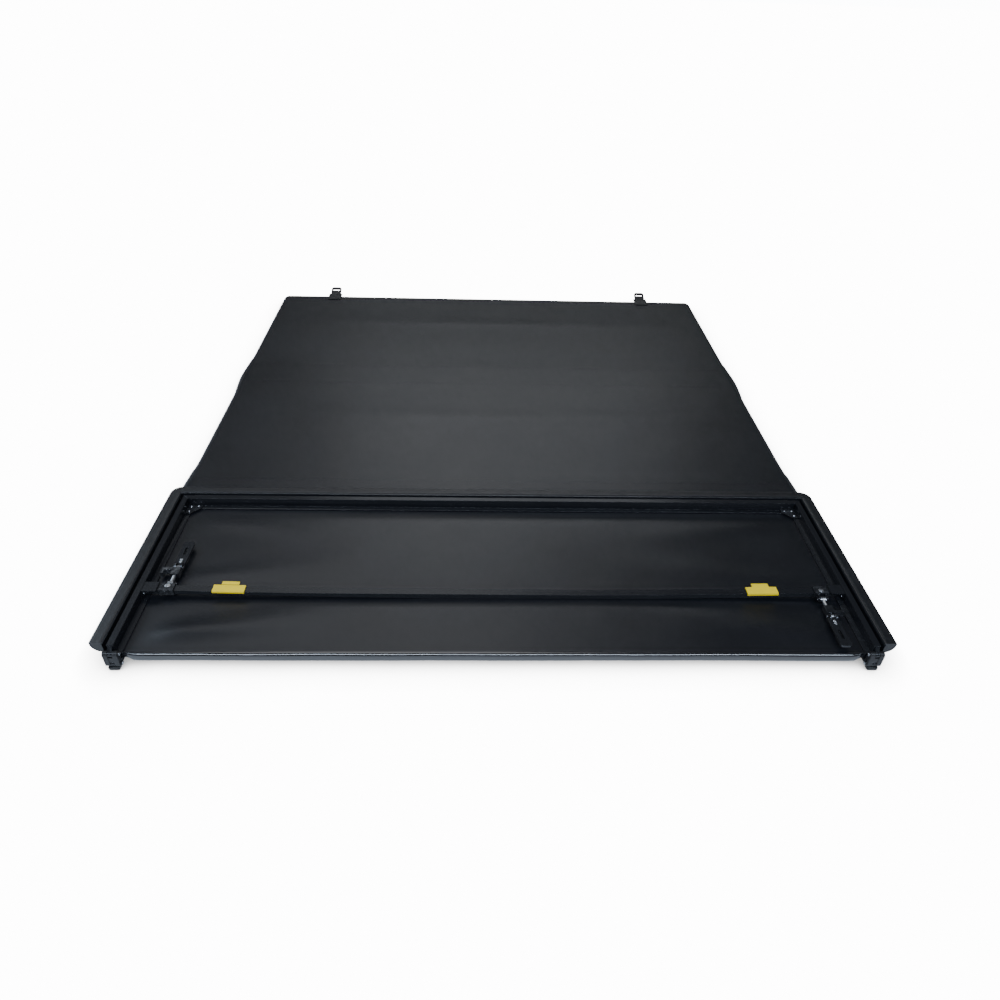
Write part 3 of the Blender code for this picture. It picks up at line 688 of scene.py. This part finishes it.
skinNodes = {
    1: ("vinyl_panel_1", "edge_hem_cab"),
    2: ("vinyl_panel_2", "edge_hem_left_2", "edge_hem_right_2"),
    3: ("vinyl_panel_3", "edge_hem_left_3", "edge_hem_right_3"),
    4: ("vinyl_panel_4", "edge_hem_tail"),
}
for number in (1, 2, 3, 4):
    made = buildSkin(number, hemSpans[number], number == 4)
    faces = ["vinylFace", "vinylBack", "hemBand"]
    piece = addPiece(made, f"vinylSkin{number}", panelBody[number], faces, 50)
    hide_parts(*skinNodes[number])
print("vinyl skins built")


def buildStrip(low, high):  # a length of vinyl over a hinge gap, with loose flaps at both sides
    ring = skin["ringWidth"]
    inX = halfWidth - ring
    xs = [inX * (2 * i / skin["across"] - 1) for i in range(skin["across"] + 1)]
    count = max(4, round((high - low) / skin["stripStep"]))
    ys = [low + (high - low) * i / count for i in range(count + 1)]
    bm = bmesh.new()
    rings = []
    for y in ys:
        profile = hemProfile(0.0, bulgeAt(y))
        top = [bm.verts.new((x, y, outerSheet)) for x in xs]
        under = [bm.verts.new((x, y, innerSheet)) for x in xs]
        right = [bm.verts.new((inX + ring - u, y, z)) for u, z, _ in profile[1:-1]]
        left = [bm.verts.new((-inX - ring + u, y, z)) for u, z, _ in profile[1:-1]]
        rings.append(top + right + under[::-1] + left[::-1])
    size = len(rings[0])
    topCount = len(xs) - 1
    for near, far in zip(rings, rings[1:]):
        for k in range(size):
            m = (k + 1) % size
            face = bm.faces.new((near[k], near[m], far[m], far[k]))
            face.material_index = 0 if k < topCount + skin["arcSteps"] else 1
    bm.faces.new(rings[0])
    bm.faces.new(rings[-1])
    facingOut(bm)
    return bm


bend = {"reach": 0.0135, "lap": 0.0002}   # how far each side of its pin a strip would turn, used only for an end point that nothing reads; its lap on a skin
for word, upper, lower in (("12", 1, 2), ("23", 2, 3)):
    first, second = pinAt[f"fold_{word}"], pinAt[f"fold_{word}_second"]
    middle = hingeMiddle[word]
    top, bottom = sheetEnds[upper][0] - bend["lap"], sheetEnds[lower][1] + bend["lap"]
    halves = (
        (f"vinylFold{word}Upper", middle, top, first, panelBody[upper], 1),
        (f"vinylFold{word}Lower", bottom, middle, second, panelBody[lower], -1),
    )
    for name, low, high, pin, body, way in halves:
        piece = addPiece(buildStrip(low, high), name, None, ["vinylFace", "vinylBack"], 50)
        end = (0, pin.y - way * min(bend["reach"], abs(pin.y - middle)), outerSheet)
        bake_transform(piece)
        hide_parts(f"vinyl_fold_{word}")
print("hinge strips built")

nose = {
    # each half's outer face as (out from the seam, height), from its panel's sheet to the fold's front
    "lower": ((0.0, 0.0253), (0.0016, 0.0196), (0.0034, 0.0160), (0.0058, 0.0148), (0.0080, 0.0166),
              (0.0093, 0.0200), (0.0097, 0.0240)),
    "upper": ((0.0097, 0.0240), (0.0094, 0.0280), (0.0082, 0.0316), (0.0058, 0.0340), (0.0030, 0.0348),
              (0.0, 0.0347)),
    "front": 0.0097,          # how far out the front stands
    "snugFront": 0.0050,      # and beside the hinges, where the roll is drawn in
    "snugDrop": 0.31,         # share of the lower half's drop that is left there
    "wave": 0.0011, "ripple": 0.0004, "droop": 0.0016, "steps": 4,
    "half": halfWidth - 0.0205, "free": 0.749, "fade": 0.022, "across": 132,
}


def smoothRun(points, steps):  # a curve through the points, with this many steps between two of them
    run = []
    for i in range(len(points) - 1):
        p0, p1 = points[max(i - 1, 0)], points[i]
        p2, p3 = points[i + 1], points[min(i + 2, len(points) - 1)]
        for k in range(steps):
            t = k / steps
            run.append(tuple(
                0.5 * (2 * b + (c - a) * t + (2 * a - 5 * b + 4 * c - d) * t * t
                       + (3 * b - a - 3 * c + d) * t ** 3)
                for a, b, c, d in zip(p0, p1, p2, p3)
            ))
    run.append(points[-1])
    return run


def buildNose(half):  # half of the roll of vinyl between the folded panel and the one under it
    seamY = sheetEnds[3][0]
    wall = skin["thickness"]
    curve = smoothRun(nose[half], nose["steps"])
    middleZ = stackTop / 2
    slackZ = middleZ - 0.004       # below this the roll droops in full
    xs = [nose["half"] * (2 * i / nose["across"] - 1) for i in range(nose["across"] + 1)]
    bm = bmesh.new()
    rings = []
    for x in xs:
        wave = nose["wave"] * noise.noise(Vector((x * 6, 2.2, 0.5)))
        wave += nose["ripple"] * noise.noise(Vector((x * 31, 7.1, 0)))
        droop = nose["droop"] * noise.noise(Vector((x * 4, 4.4, 1.5)))
        loose = ease((nose["free"] - abs(x)) / nose["fade"])
        outer, inner = [], []
        for k, (out, z) in enumerate(curve):
            share = min(out / nose["front"], 1.0)
            snugZ = middleZ + (z - middleZ) * (1 if z > middleZ else nose["snugDrop"])
            reach = mix(min(out, nose["snugFront"] * share), out * (1 + wave / nose["front"]), loose)
            height = mix(snugZ, z + droop * share * (1 if z < slackZ else 0.4), loose)
            before, after = curve[max(k - 1, 0)], curve[min(k + 1, len(curve) - 1)]
            run = Vector((after[0] - before[0], after[1] - before[1])).normalized()
            outer.append(bm.verts.new((x, seamY - reach, height)))
            inner.append(bm.verts.new((x, seamY - reach + wall * run.y, height + wall * run.x)))
        rings.append(outer + inner[::-1])
    size, edge = len(rings[0]), len(curve) - 1
    for near, far in zip(rings, rings[1:]):
        for k in range(size):
            m = (k + 1) % size
            face = bm.faces.new((near[k], near[m], far[m], far[k]))
            face.material_index = 1 if k < edge else 0
    bm.faces.new(rings[0])
    bm.faces.new(rings[-1])
    facingOut(bm)
    return bm


for name, half, body in (("vinylNoseLower", "lower", "panel_3"), ("vinylNoseUpper", "upper", "panel_4")):
    piece = addPiece(buildNose(half), name, None, ["vinylFace", "noseBack"], 60)
    if half == "lower":
        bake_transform(piece)
    else:
        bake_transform(piece)
    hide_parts("vinyl_fold_34")
print("folded nose built")


softened = {
    "side_rail": (0.0005, "railCoat"),
    "cab_bar": (0.0005, "barCoat"),
    "tail_bar": (0.0005, "barCoat"),
    "bow_pad": (0.0007, "padYellow"),
    "bow_": (0.0012, "barCoat"),
    "corner_bracket": (0.0004, "bracketCoat"),
    "hinge_link": (0.0007, "hingeBlack"),
    "clamp_base": (0.0005, "bracketCoat"),
    "clamp_rod": (0.0004, "bareSteel"),
    "clamp_jaw": (0.0009, "clampSteel"),
    "clamp_lever": (0.0007, "clampSteel"),
    "strap_buckle": (0.0009, "buckleBlack"),
    "tail_seal": (0.0, "sealRubber"),
}


def soften(nodeName):
    prefix = next(p for p in softened if nodeName.startswith(p))
    width, finishName = softened[prefix]
    source = frame["nodes"][nodeName]
    if width == 0.0:
        source.data.materials.clear()
        source.data.materials.append(finishes[finishName])
        return
    bm = bmesh.new()
    bm.from_mesh(source.data)
    bmesh.ops.remove_doubles(bm, verts=bm.verts, dist=0.00002)
    bmesh.ops.dissolve_limit(bm, angle_limit=math.radians(1.0), verts=bm.verts, edges=bm.edges)
    piece = addPiece(bm, nodeName + "_soft", nodeBody[nodeName], [finishName], 32)
    for face in piece.data.polygons:
        face.material_index = 0
    bevel = piece.modifiers.new("edges", "BEVEL")
    bevel.width = width
    bevel.segments = 2
    bevel.limit_method = "ANGLE"
    bevel.angle_limit = math.radians(38)
    bevel.use_clamp_overlap = True
    bevel.harden_normals = True
    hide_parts(nodeName)


fabricNodes = {n for names in skinNodes.values() for n in names}
fabricNodes |= {f"vinyl_fold_{word}" for word in ("12", "23", "34")}
for nodeName in sorted(frame["nodes"]):
    if nodeName not in fabricNodes:
        soften(nodeName)
print("frame pieces softened")


def towards(axis, spot):  # a frame whose +Z is the axis, standing at the spot
    turn = Vector((0, 0, 1)).rotation_difference(Vector(axis)).to_matrix().to_4x4()
    return Matrix.Translation(Vector(spot)) @ turn


def turned(profile, sides):  # a turned solid from (radius, height) steps, both ends on the axis
    bm = bmesh.new()
    rings = []
    for radius, height in profile:
        if radius == 0:
            rings.append([bm.verts.new((0, 0, height))])
        else:
            angles = [2 * math.pi * i / sides for i in range(sides)]
            rings.append([bm.verts.new((radius * math.cos(a), radius * math.sin(a), height)) for a in angles])
    for low, high in zip(rings, rings[1:]):
        for i in range(sides):
            k = (i + 1) % sides
            corners = []
            for v in (low[i % len(low)], low[k % len(low)], high[k % len(high)], high[i % len(high)]):
                if v not in corners:
                    corners.append(v)
            bm.faces.new(corners)
    facingOut(bm)
    return bm


def addTurned(name, body, finishName, axis, spot, profile, sides=20):
    bm = turned(profile, sides)
    bmesh.ops.transform(bm, matrix=towards(axis, spot), verts=bm.verts)
    return addPiece(bm, name, body, [finishName], 34)


sunk = 0.0003        # how far a fastener's foot goes into its piece


def rivetProfile(radius, height):  # a domed head with a small dimple
    return [
        (0, -sunk), (radius, -sunk), (radius, 0.22 * height), (0.9 * radius, 0.6 * height),
        (0.68 * radius, 0.9 * height), (0.34 * radius, height), (0.26 * radius, 0.78 * height),
        (0, 0.74 * height),
    ]


def boltProfile(radius, height):  # a washer, a round head and a socket
    return [
        (0, -sunk), (1.5 * radius, -sunk), (1.5 * radius, 0.16 * height), (1.44 * radius, 0.22 * height),
        (radius, 0.22 * height), (radius, 0.86 * height), (0.9 * radius, height), (0.5 * radius, height),
        (0.46 * radius, 0.94 * height), (0.46 * radius, 0.5 * height), (0, 0.46 * height),
    ]


def pinProfile(radius, height):
    return [(0, -sunk), (radius, -sunk), (radius, 0.7 * height), (0.82 * radius, height), (0, height)]


fastener = {
    "cornerScrew": (0.0032, 0.0015), "cornerSpots": ((0.007, 0.026), (0.0075, 0.0075), (0.026, 0.007)),
    "footRivet": (0.0032, 0.0014), "footSpread": 0.0085, "footHeight": 0.0125,
    "saddleBolt": (0.0040, 0.0014), "leverRivet": (0.0034, 0.0018), "leverSpots": (0.0160, 0.0230),
    "hingePin": (0.0034, 0.0012), "crossPin": (0.0027, 0.0008),
    "footIn": 0.0027, "saddleShift": 0.004, "leverFace": 0.0025, "swingReach": 0.011, "camReach": 0.0099,
}
count = 0
for end, panel, up in (("cab", "panel_1", -1), ("tail", "panel_4", 1)):
    for side, word in ((-1, "left"), (1, "right")):
        low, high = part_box(f"corner_bracket_{end}_{word}")
        cornerX = high.x if side > 0 else low.x
        z = high.z if up > 0 else low.z
        for k, (inX, inY) in enumerate(fastener["cornerSpots"]):
            spot = (cornerX - side * inX, high.y - inY, z)
            addTurned(
                f"cornerScrew_{end}_{word}_{k + 1}", panel, "bareSteel", (0, 0, up), spot,
                rivetProfile(*fastener["cornerScrew"]),
            )
            count += 1
for number in (1, 2, 3, 4):
    low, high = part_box(f"bow_{number}")
    for side, word in ((-1, "left"), (1, "right")):
        for k, along in enumerate((-1, 1)):
            z = fastener["footHeight"] if number != 4 else stackTop - fastener["footHeight"]
            y = (low.y + high.y) / 2 + along * fastener["footSpread"]
            spot = (side * (high.x - fastener["footIn"]), y, z)
            addTurned(
                f"footRivet_{number}_{word}_{k + 1}", panelBody[number], "bareSteel",
                (-side, 0, 0), spot, rivetProfile(*fastener["footRivet"]), 16,
            )
            count += 1
for word, pins in (("12", ("fold_12", "fold_12_second")), ("23", ("fold_23", "fold_23_second")),
                   ("34", ("fold_34", "fold_34_second"))):
    for side, hand in ((-1, "left"), (1, "right")):
        low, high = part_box(f"hinge_link_{hand}_{word}")
        for face, out in (("inner", -side), ("outer", side)):
            x = high.x if out > 0 else low.x
            for k, pinName in enumerate(pins):
                spot = (x, pinAt[pinName].y, pinAt[pinName].z)
                size = fastener["hingePin"]
                addTurned(
                    f"hingePin_{word}_{hand}_{face}_{k + 1}", f"link_{word}", "bareSteel",
                    (out, 0, 0), spot, pinProfile(*size), 18,
                )
                count += 1
for end in ("front", "rear"):
    up = -1 if end == "front" else 1     # the side of the clamp that its saddle's sole is on
    panel = "panel_1" if end == "front" else "panel_4"
    for side, word in ((-1, "left"), (1, "right")):
        name = f"{end}_{word}"
        swing, cam = pinAt[f"swing_{name}"], pinAt[f"cam_{name}"]
        stow = 1 if cam.y > swing.y else -1
        low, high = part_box(f"clamp_base_{name}")
        sole = high.z if up > 0 else low.z
        spot = (swing.x, (low.y + high.y) / 2 - stow * fastener["saddleShift"], sole)
        addTurned(
            f"saddleBolt_{name}", panel, "bareSteel", (0, 0, up), spot,
            boltProfile(*fastener["saddleBolt"]), 24,
        )
        for k, reach in enumerate(fastener["leverSpots"]):
            spot = (swing.x, cam.y + stow * reach, swing.z + up * fastener["leverFace"])
            addTurned(
                f"leverRivet_{name}_{k + 1}", f"lever_{name}", "bareSteel", (0, 0, up), spot,
                rivetProfile(*fastener["leverRivet"]), 18,
            )
        for tag, body, pin in (("swing", panel, swing), ("cam", f"lever_{name}", cam)):
            for face in (-1, 1):
                spot = (pin.x + face * fastener[tag + "Reach"], pin.y, pin.z)
                where = "in" if face * side < 0 else "out"
                addTurned(
                    f"{tag}Pin_{name}_{where}", body, "bareSteel",
                    (face, 0, 0), spot, pinProfile(*fastener["crossPin"]), 16,
                )
        count += 7
print("fasteners added:", count)

foot = {"inner": 0.757, "outer": 0.779, "depth": 0.0125, "height": 0.0098, "round": 0.0016}
for side, word in ((-1, "left"), (1, "right")):
    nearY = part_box(f"side_rail_{word}_3")[0].y
    bm = bmesh.new()
    bmesh.ops.create_cube(bm, size=1)
    size = (foot["outer"] - foot["inner"], foot["depth"], foot["height"])
    spot = (side * (foot["outer"] + foot["inner"]) / 2, nearY + foot["depth"] / 2, foot["height"] / 2)
    for v in bm.verts:
        v.co = [v.co[k] * size[k] + spot[k] for k in range(3)]
    bmesh.ops.bevel(bm, geom=bm.edges[:], offset=foot["round"], segments=3, affect="EDGES")
    facingOut(bm)
    addPiece(bm, f"hingeFoot_{word}", "panel_3", ["buckleBlack"], 40)


stitch = {"pitch": 0.0062, "length": 0.0046, "radius": 0.00042, "inset": 0.0195, "corner": 8}


def addStitches(bm, points, lift):  # short threads along a route, on a face whose normal is lift
    route = [Vector(p) for p in points]
    lengths = [(b - a).length for a, b in zip(route, route[1:])]
    total = sum(lengths)
    number = int(total / stitch["pitch"])
    segment, passed = 0, 0.0
    for i in range(number):
        here = (i + 0.5) * stitch["pitch"]
        while segment < len(lengths) - 1 and passed + lengths[segment] < here:
            passed += lengths[segment]
            segment += 1
        start, end = route[segment], route[segment + 1]
        along = (end - start).normalized()
        middle = start + along * (here - passed)
        side = along.cross(lift).normalized()
        rings = []
        for t, fat, rise in ((-1, 0.25, 0.1), (-0.6, 0.9, 0.8), (0.6, 0.9, 0.8), (1, 0.25, 0.1)):
            centre = middle + along * (t * stitch["length"] / 2) + lift * (stitch["radius"] * rise)
            size = stitch["radius"] * fat
            rings.append([
                bm.verts.new(centre + side * (size * math.cos(a)) + lift * (size * math.sin(a)))
                for a in (math.pi * k / 2.5 for k in range(5))
            ])
        for low, high in zip(rings, rings[1:]):
            for k in range(5):
                m = (k + 1) % 5
                bm.faces.new((low[k], low[m], high[m], high[k]))
        bm.faces.new(rings[0])
        bm.faces.new(rings[-1])


def hemRoute(number):
    span = hemSpans[number]
    low = max(sheetEnds[number][0], span[0]) + 0.010
    inset = stitch["inset"]
    z = stackTop - 0.00005 if number == 4 else 0.0
    routes = []
    if wrappedEnd[number]:
        high = sheetEnds[number][1]
        ring = skin["ringWidth"]
        radius = ring - inset
        left = [(-halfWidth + inset, low, z), (-halfWidth + inset, high - ring, z)]
        for k in range(1, stitch["corner"] + 1):
            a = math.pi - math.pi / 2 * k / stitch["corner"]
            left.append((-halfWidth + ring + radius * math.cos(a), high - ring + radius * math.sin(a), z))
        routes.append(left + [(-x, y, z) for x, y, z in reversed(left)])
    else:
        high = span[1] - 0.010
        for side in (-1, 1):
            routes.append([(side * (halfWidth - inset), low, z), (side * (halfWidth - inset), high, z)])
    return routes


for number in (1, 2, 3, 4):
    bm = bmesh.new()
    lift = Vector((0, 0, 1 if number == 4 else -1))
    for points in hemRoute(number):
        lifted = [(x, y, z - 0.0001 * lift.z + (0.0003 if number != 4 else 0.0)) for x, y, z in points]
        addStitches(bm, lifted, lift)
    facingOut(bm)
    addPiece(bm, f"hemStitching{number}", panelBody[number], ["threadGrey"], 60)
print("stitching added")


tab = {
    "lap": 0.046, "half": 0.0225, "thick": 0.0012, "stitchIn": 0.004, "base": 0.0025, "gap": 0.0002,
    "cockle": 0.00025, "endIn": 0.001, "stitchEnd": 0.006,
}
for side, word in ((-1, "left"), (1, "right")):
    low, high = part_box(f"strap_buckle_{word}")
    middle = (low.x + high.x) / 2
    cab = sheetEnds[1][1]
    top = low.z + tab["base"]
    bm = bmesh.new()
    bmesh.ops.create_grid(bm, x_segments=12, y_segments=14, size=1)
    for v in bm.verts:
        x, y = v.co.x * tab["half"], mix(-tab["lap"], -tab["endIn"], (v.co.y + 1) / 2)
        z = top + tab["gap"] + tab["cockle"] * noise.noise(Vector((x * 60, y * 60, side)))
        v.co = (middle + x, cab + y, z)
    raised = bmesh.ops.extrude_face_region(bm, geom=bm.faces[:], use_keep_orig=True)["geom"]
    lifted = [v for v in raised if isinstance(v, bmesh.types.BMVert)]
    bmesh.ops.translate(bm, verts=lifted, vec=(0, 0, tab["thick"]))
    facingOut(bm)
    addPiece(bm, f"strapWebbing_{word}", "panel_1", ["webbing"], 40)
    bm = bmesh.new()
    inX, nearY = tab["half"] - tab["stitchIn"], cab - tab["lap"] + tab["stitchIn"]
    farY, z = cab - tab["stitchEnd"], top + tab["gap"] + tab["thick"]
    box = [(middle + x, y, z) for x, y in ((-inX, nearY), (inX, nearY), (inX, farY), (-inX, farY))]
    addStitches(bm, box + [box[0]], Vector((0, 0, 1)))
    addStitches(bm, [box[0], box[2]], Vector((0, 0, 1)))
    addStitches(bm, [box[1], box[3]], Vector((0, 0, 1)))
    facingOut(bm)
    addPiece(bm, f"strapStitching_{word}", "panel_1", ["threadGrey"], 60)
print("webbing sewn on")


def makeFloor():
    bm = bmesh.new()
    bmesh.ops.create_grid(bm, x_segments=8, y_segments=8, size=14)
    bmesh.ops.translate(bm, verts=bm.verts, vec=(0, 6, -0.0004))
    mesh = bpy.data.meshes.new("floor")
    bm.to_mesh(mesh)
    bm.free()
    floor = bpy.data.objects.new("floor", mesh)
    bpy.context.scene.collection.objects.link(floor)
    made = bpy.data.materials.new("floorWhite")
    made.use_nodes = True
    tree = made.node_tree
    shader = tree.nodes["Principled BSDF"]
    tone = scaledNoise(tree, objectPlace(tree), 0.8, 2.0, 0.4)
    color = addBlend(tree, tone, (0.90, 0.90, 0.905), (0.92, 0.92, 0.92))
    tree.links.new(color, shader.inputs["Base Color"])
    shader.inputs["Roughness"].default_value = 0.8
    shader.inputs["Specular IOR Level"].default_value = 0.2
    seen = addNode(tree, "ShaderNodeEmission", None, {"Color": (1, 1, 1, 1)})   # what the camera sees of it: an even white glow, dimmed near the cover by ambient occlusion into a painted contact shadow
    paintedShadowAO = addNode(tree, "ShaderNodeAmbientOcclusion", {"samples": 12}, {"Distance": light["paintedShadowReach"]})
    shade = addMath(tree, "POWER", paintedShadowAO.outputs["AO"], 2.2)
    tree.links.new(addRange(tree, shade, 0.0, 1.0, 0.35, light["seenWhite"]), seen.inputs["Strength"])
    paths = addNode(tree, "ShaderNodeLightPath")
    mixed = addNode(tree, "ShaderNodeMixShader")
    tree.links.new(paths.outputs["Is Camera Ray"], mixed.inputs[0])
    tree.links.new(shader.outputs[0], mixed.inputs[1])
    tree.links.new(seen.outputs[0], mixed.inputs[2])
    tree.links.new(mixed.outputs[0], tree.nodes["Material Output"].inputs["Surface"])
    mesh.materials.append(made)


light = {
    # the fourth value is how far the floor's painted contact shadow reaches out from the cover
    "worldColor": (0.92, 0.96, 1.0), "worldStrength": 0.11, "seenWhite": 14.0, "paintedShadowReach": 0.07,
    "top": {"spot": (-0.6, 1.3, 3.2), "aim": (0, 0.2, 0), "size": (2.6, 2.6),
            "power": 26, "color": (0.96, 0.98, 1.0)},
    "left": {"spot": (-3.0, 0.3, 1.5), "aim": (0, 0, 0), "size": (2.0, 2.0),
             "power": 48, "color": (0.72, 0.85, 1.0)},
    "back": {"spot": (0.2, 3.3, 2.3), "aim": (0, 0, 0), "size": (2.8, 0.8),
             "power": 20, "color": (0.92, 0.96, 1.0)},
    "front": {"spot": (0.0, -2.5, 2.2), "aim": (0, -0.95, 0), "size": (4.6, 0.30),
              "power": 120, "color": (0.72, 0.84, 1.0)},
}


def addArea(name, look):
    data = bpy.data.lights.new(name, "AREA")
    data.shape = "RECTANGLE"
    data.size, data.size_y = look["size"]
    data.energy = look["power"]
    data.color = look["color"]
    lamp = bpy.data.objects.new(name, data)
    lamp.location = look["spot"]
    lamp.rotation_euler = (Vector(look["aim"]) - Vector(look["spot"])).to_track_quat("-Z", "Y").to_euler()
    bpy.context.scene.collection.objects.link(lamp)


def makeWorld():
    world = bpy.data.worlds.new("studio")
    world.use_nodes = True
    back = world.node_tree.nodes["Background"]
    back.inputs["Color"].default_value = (*light["worldColor"], 1)
    paths = addNode(world.node_tree, "ShaderNodeLightPath")
    isSeen = paths.outputs["Is Camera Ray"]
    seen = addRange(world.node_tree, isSeen, 0.0, 1.0, light["worldStrength"], light["seenWhite"])
    world.node_tree.links.new(seen, back.inputs["Strength"])
    bpy.context.scene.world = world


view = {
    "lens": 27.0, "back": 1.002, "side": -0.060, "height": 1.193, "pitch": 37.1, "yaw": 2.67, "roll": 2.10,
}


def addCamera():
    data = bpy.data.cameras.new("camera")
    data.lens = view["lens"]
    data.sensor_width = 36
    data.clip_end = 60
    down, yaw, roll = (math.radians(view[key]) for key in ("pitch", "yaw", "roll"))
    ahead = Vector((math.sin(yaw) * math.cos(down), math.cos(yaw) * math.cos(down), -math.sin(down)))
    level = Vector((math.cos(yaw), -math.sin(yaw), 0))
    up = level.cross(ahead)
    right = level * math.cos(roll) + up * math.sin(roll)
    above = right.cross(ahead)
    turn = Matrix((right, above, -ahead)).transposed().to_4x4()
    spot = Vector((view["side"], cadBox[0][1] - view["back"], view["height"]))
    camera = bpy.data.objects.new("camera", data)
    camera.matrix_world = Matrix.Translation(spot) @ turn
    bpy.context.scene.collection.objects.link(camera)
    bpy.context.scene.camera = camera


makeFloor()
makeWorld()
for lampName in ("top", "left", "back", "front"):
    addArea(lampName, light[lampName])
addCamera()
print("floor, light and camera placed")

restsOn = {
    f"vinylSkin{number}": [f"{piece}_{number}_soft" for piece in ("side_rail_left", "side_rail_right", "bow")]
    for number in (1, 2, 3, 4)
}
for word, upper, lower in (("12", "vinylSkin1", "vinylSkin2"), ("23", "vinylSkin2", "vinylSkin3")):
    restsOn[f"vinylFold{word}Upper"] = [upper]
    restsOn[f"vinylFold{word}Lower"] = [lower]
restsOn["vinylNoseLower"], restsOn["vinylNoseUpper"] = ["vinylSkin3"], ["vinylSkin4"]
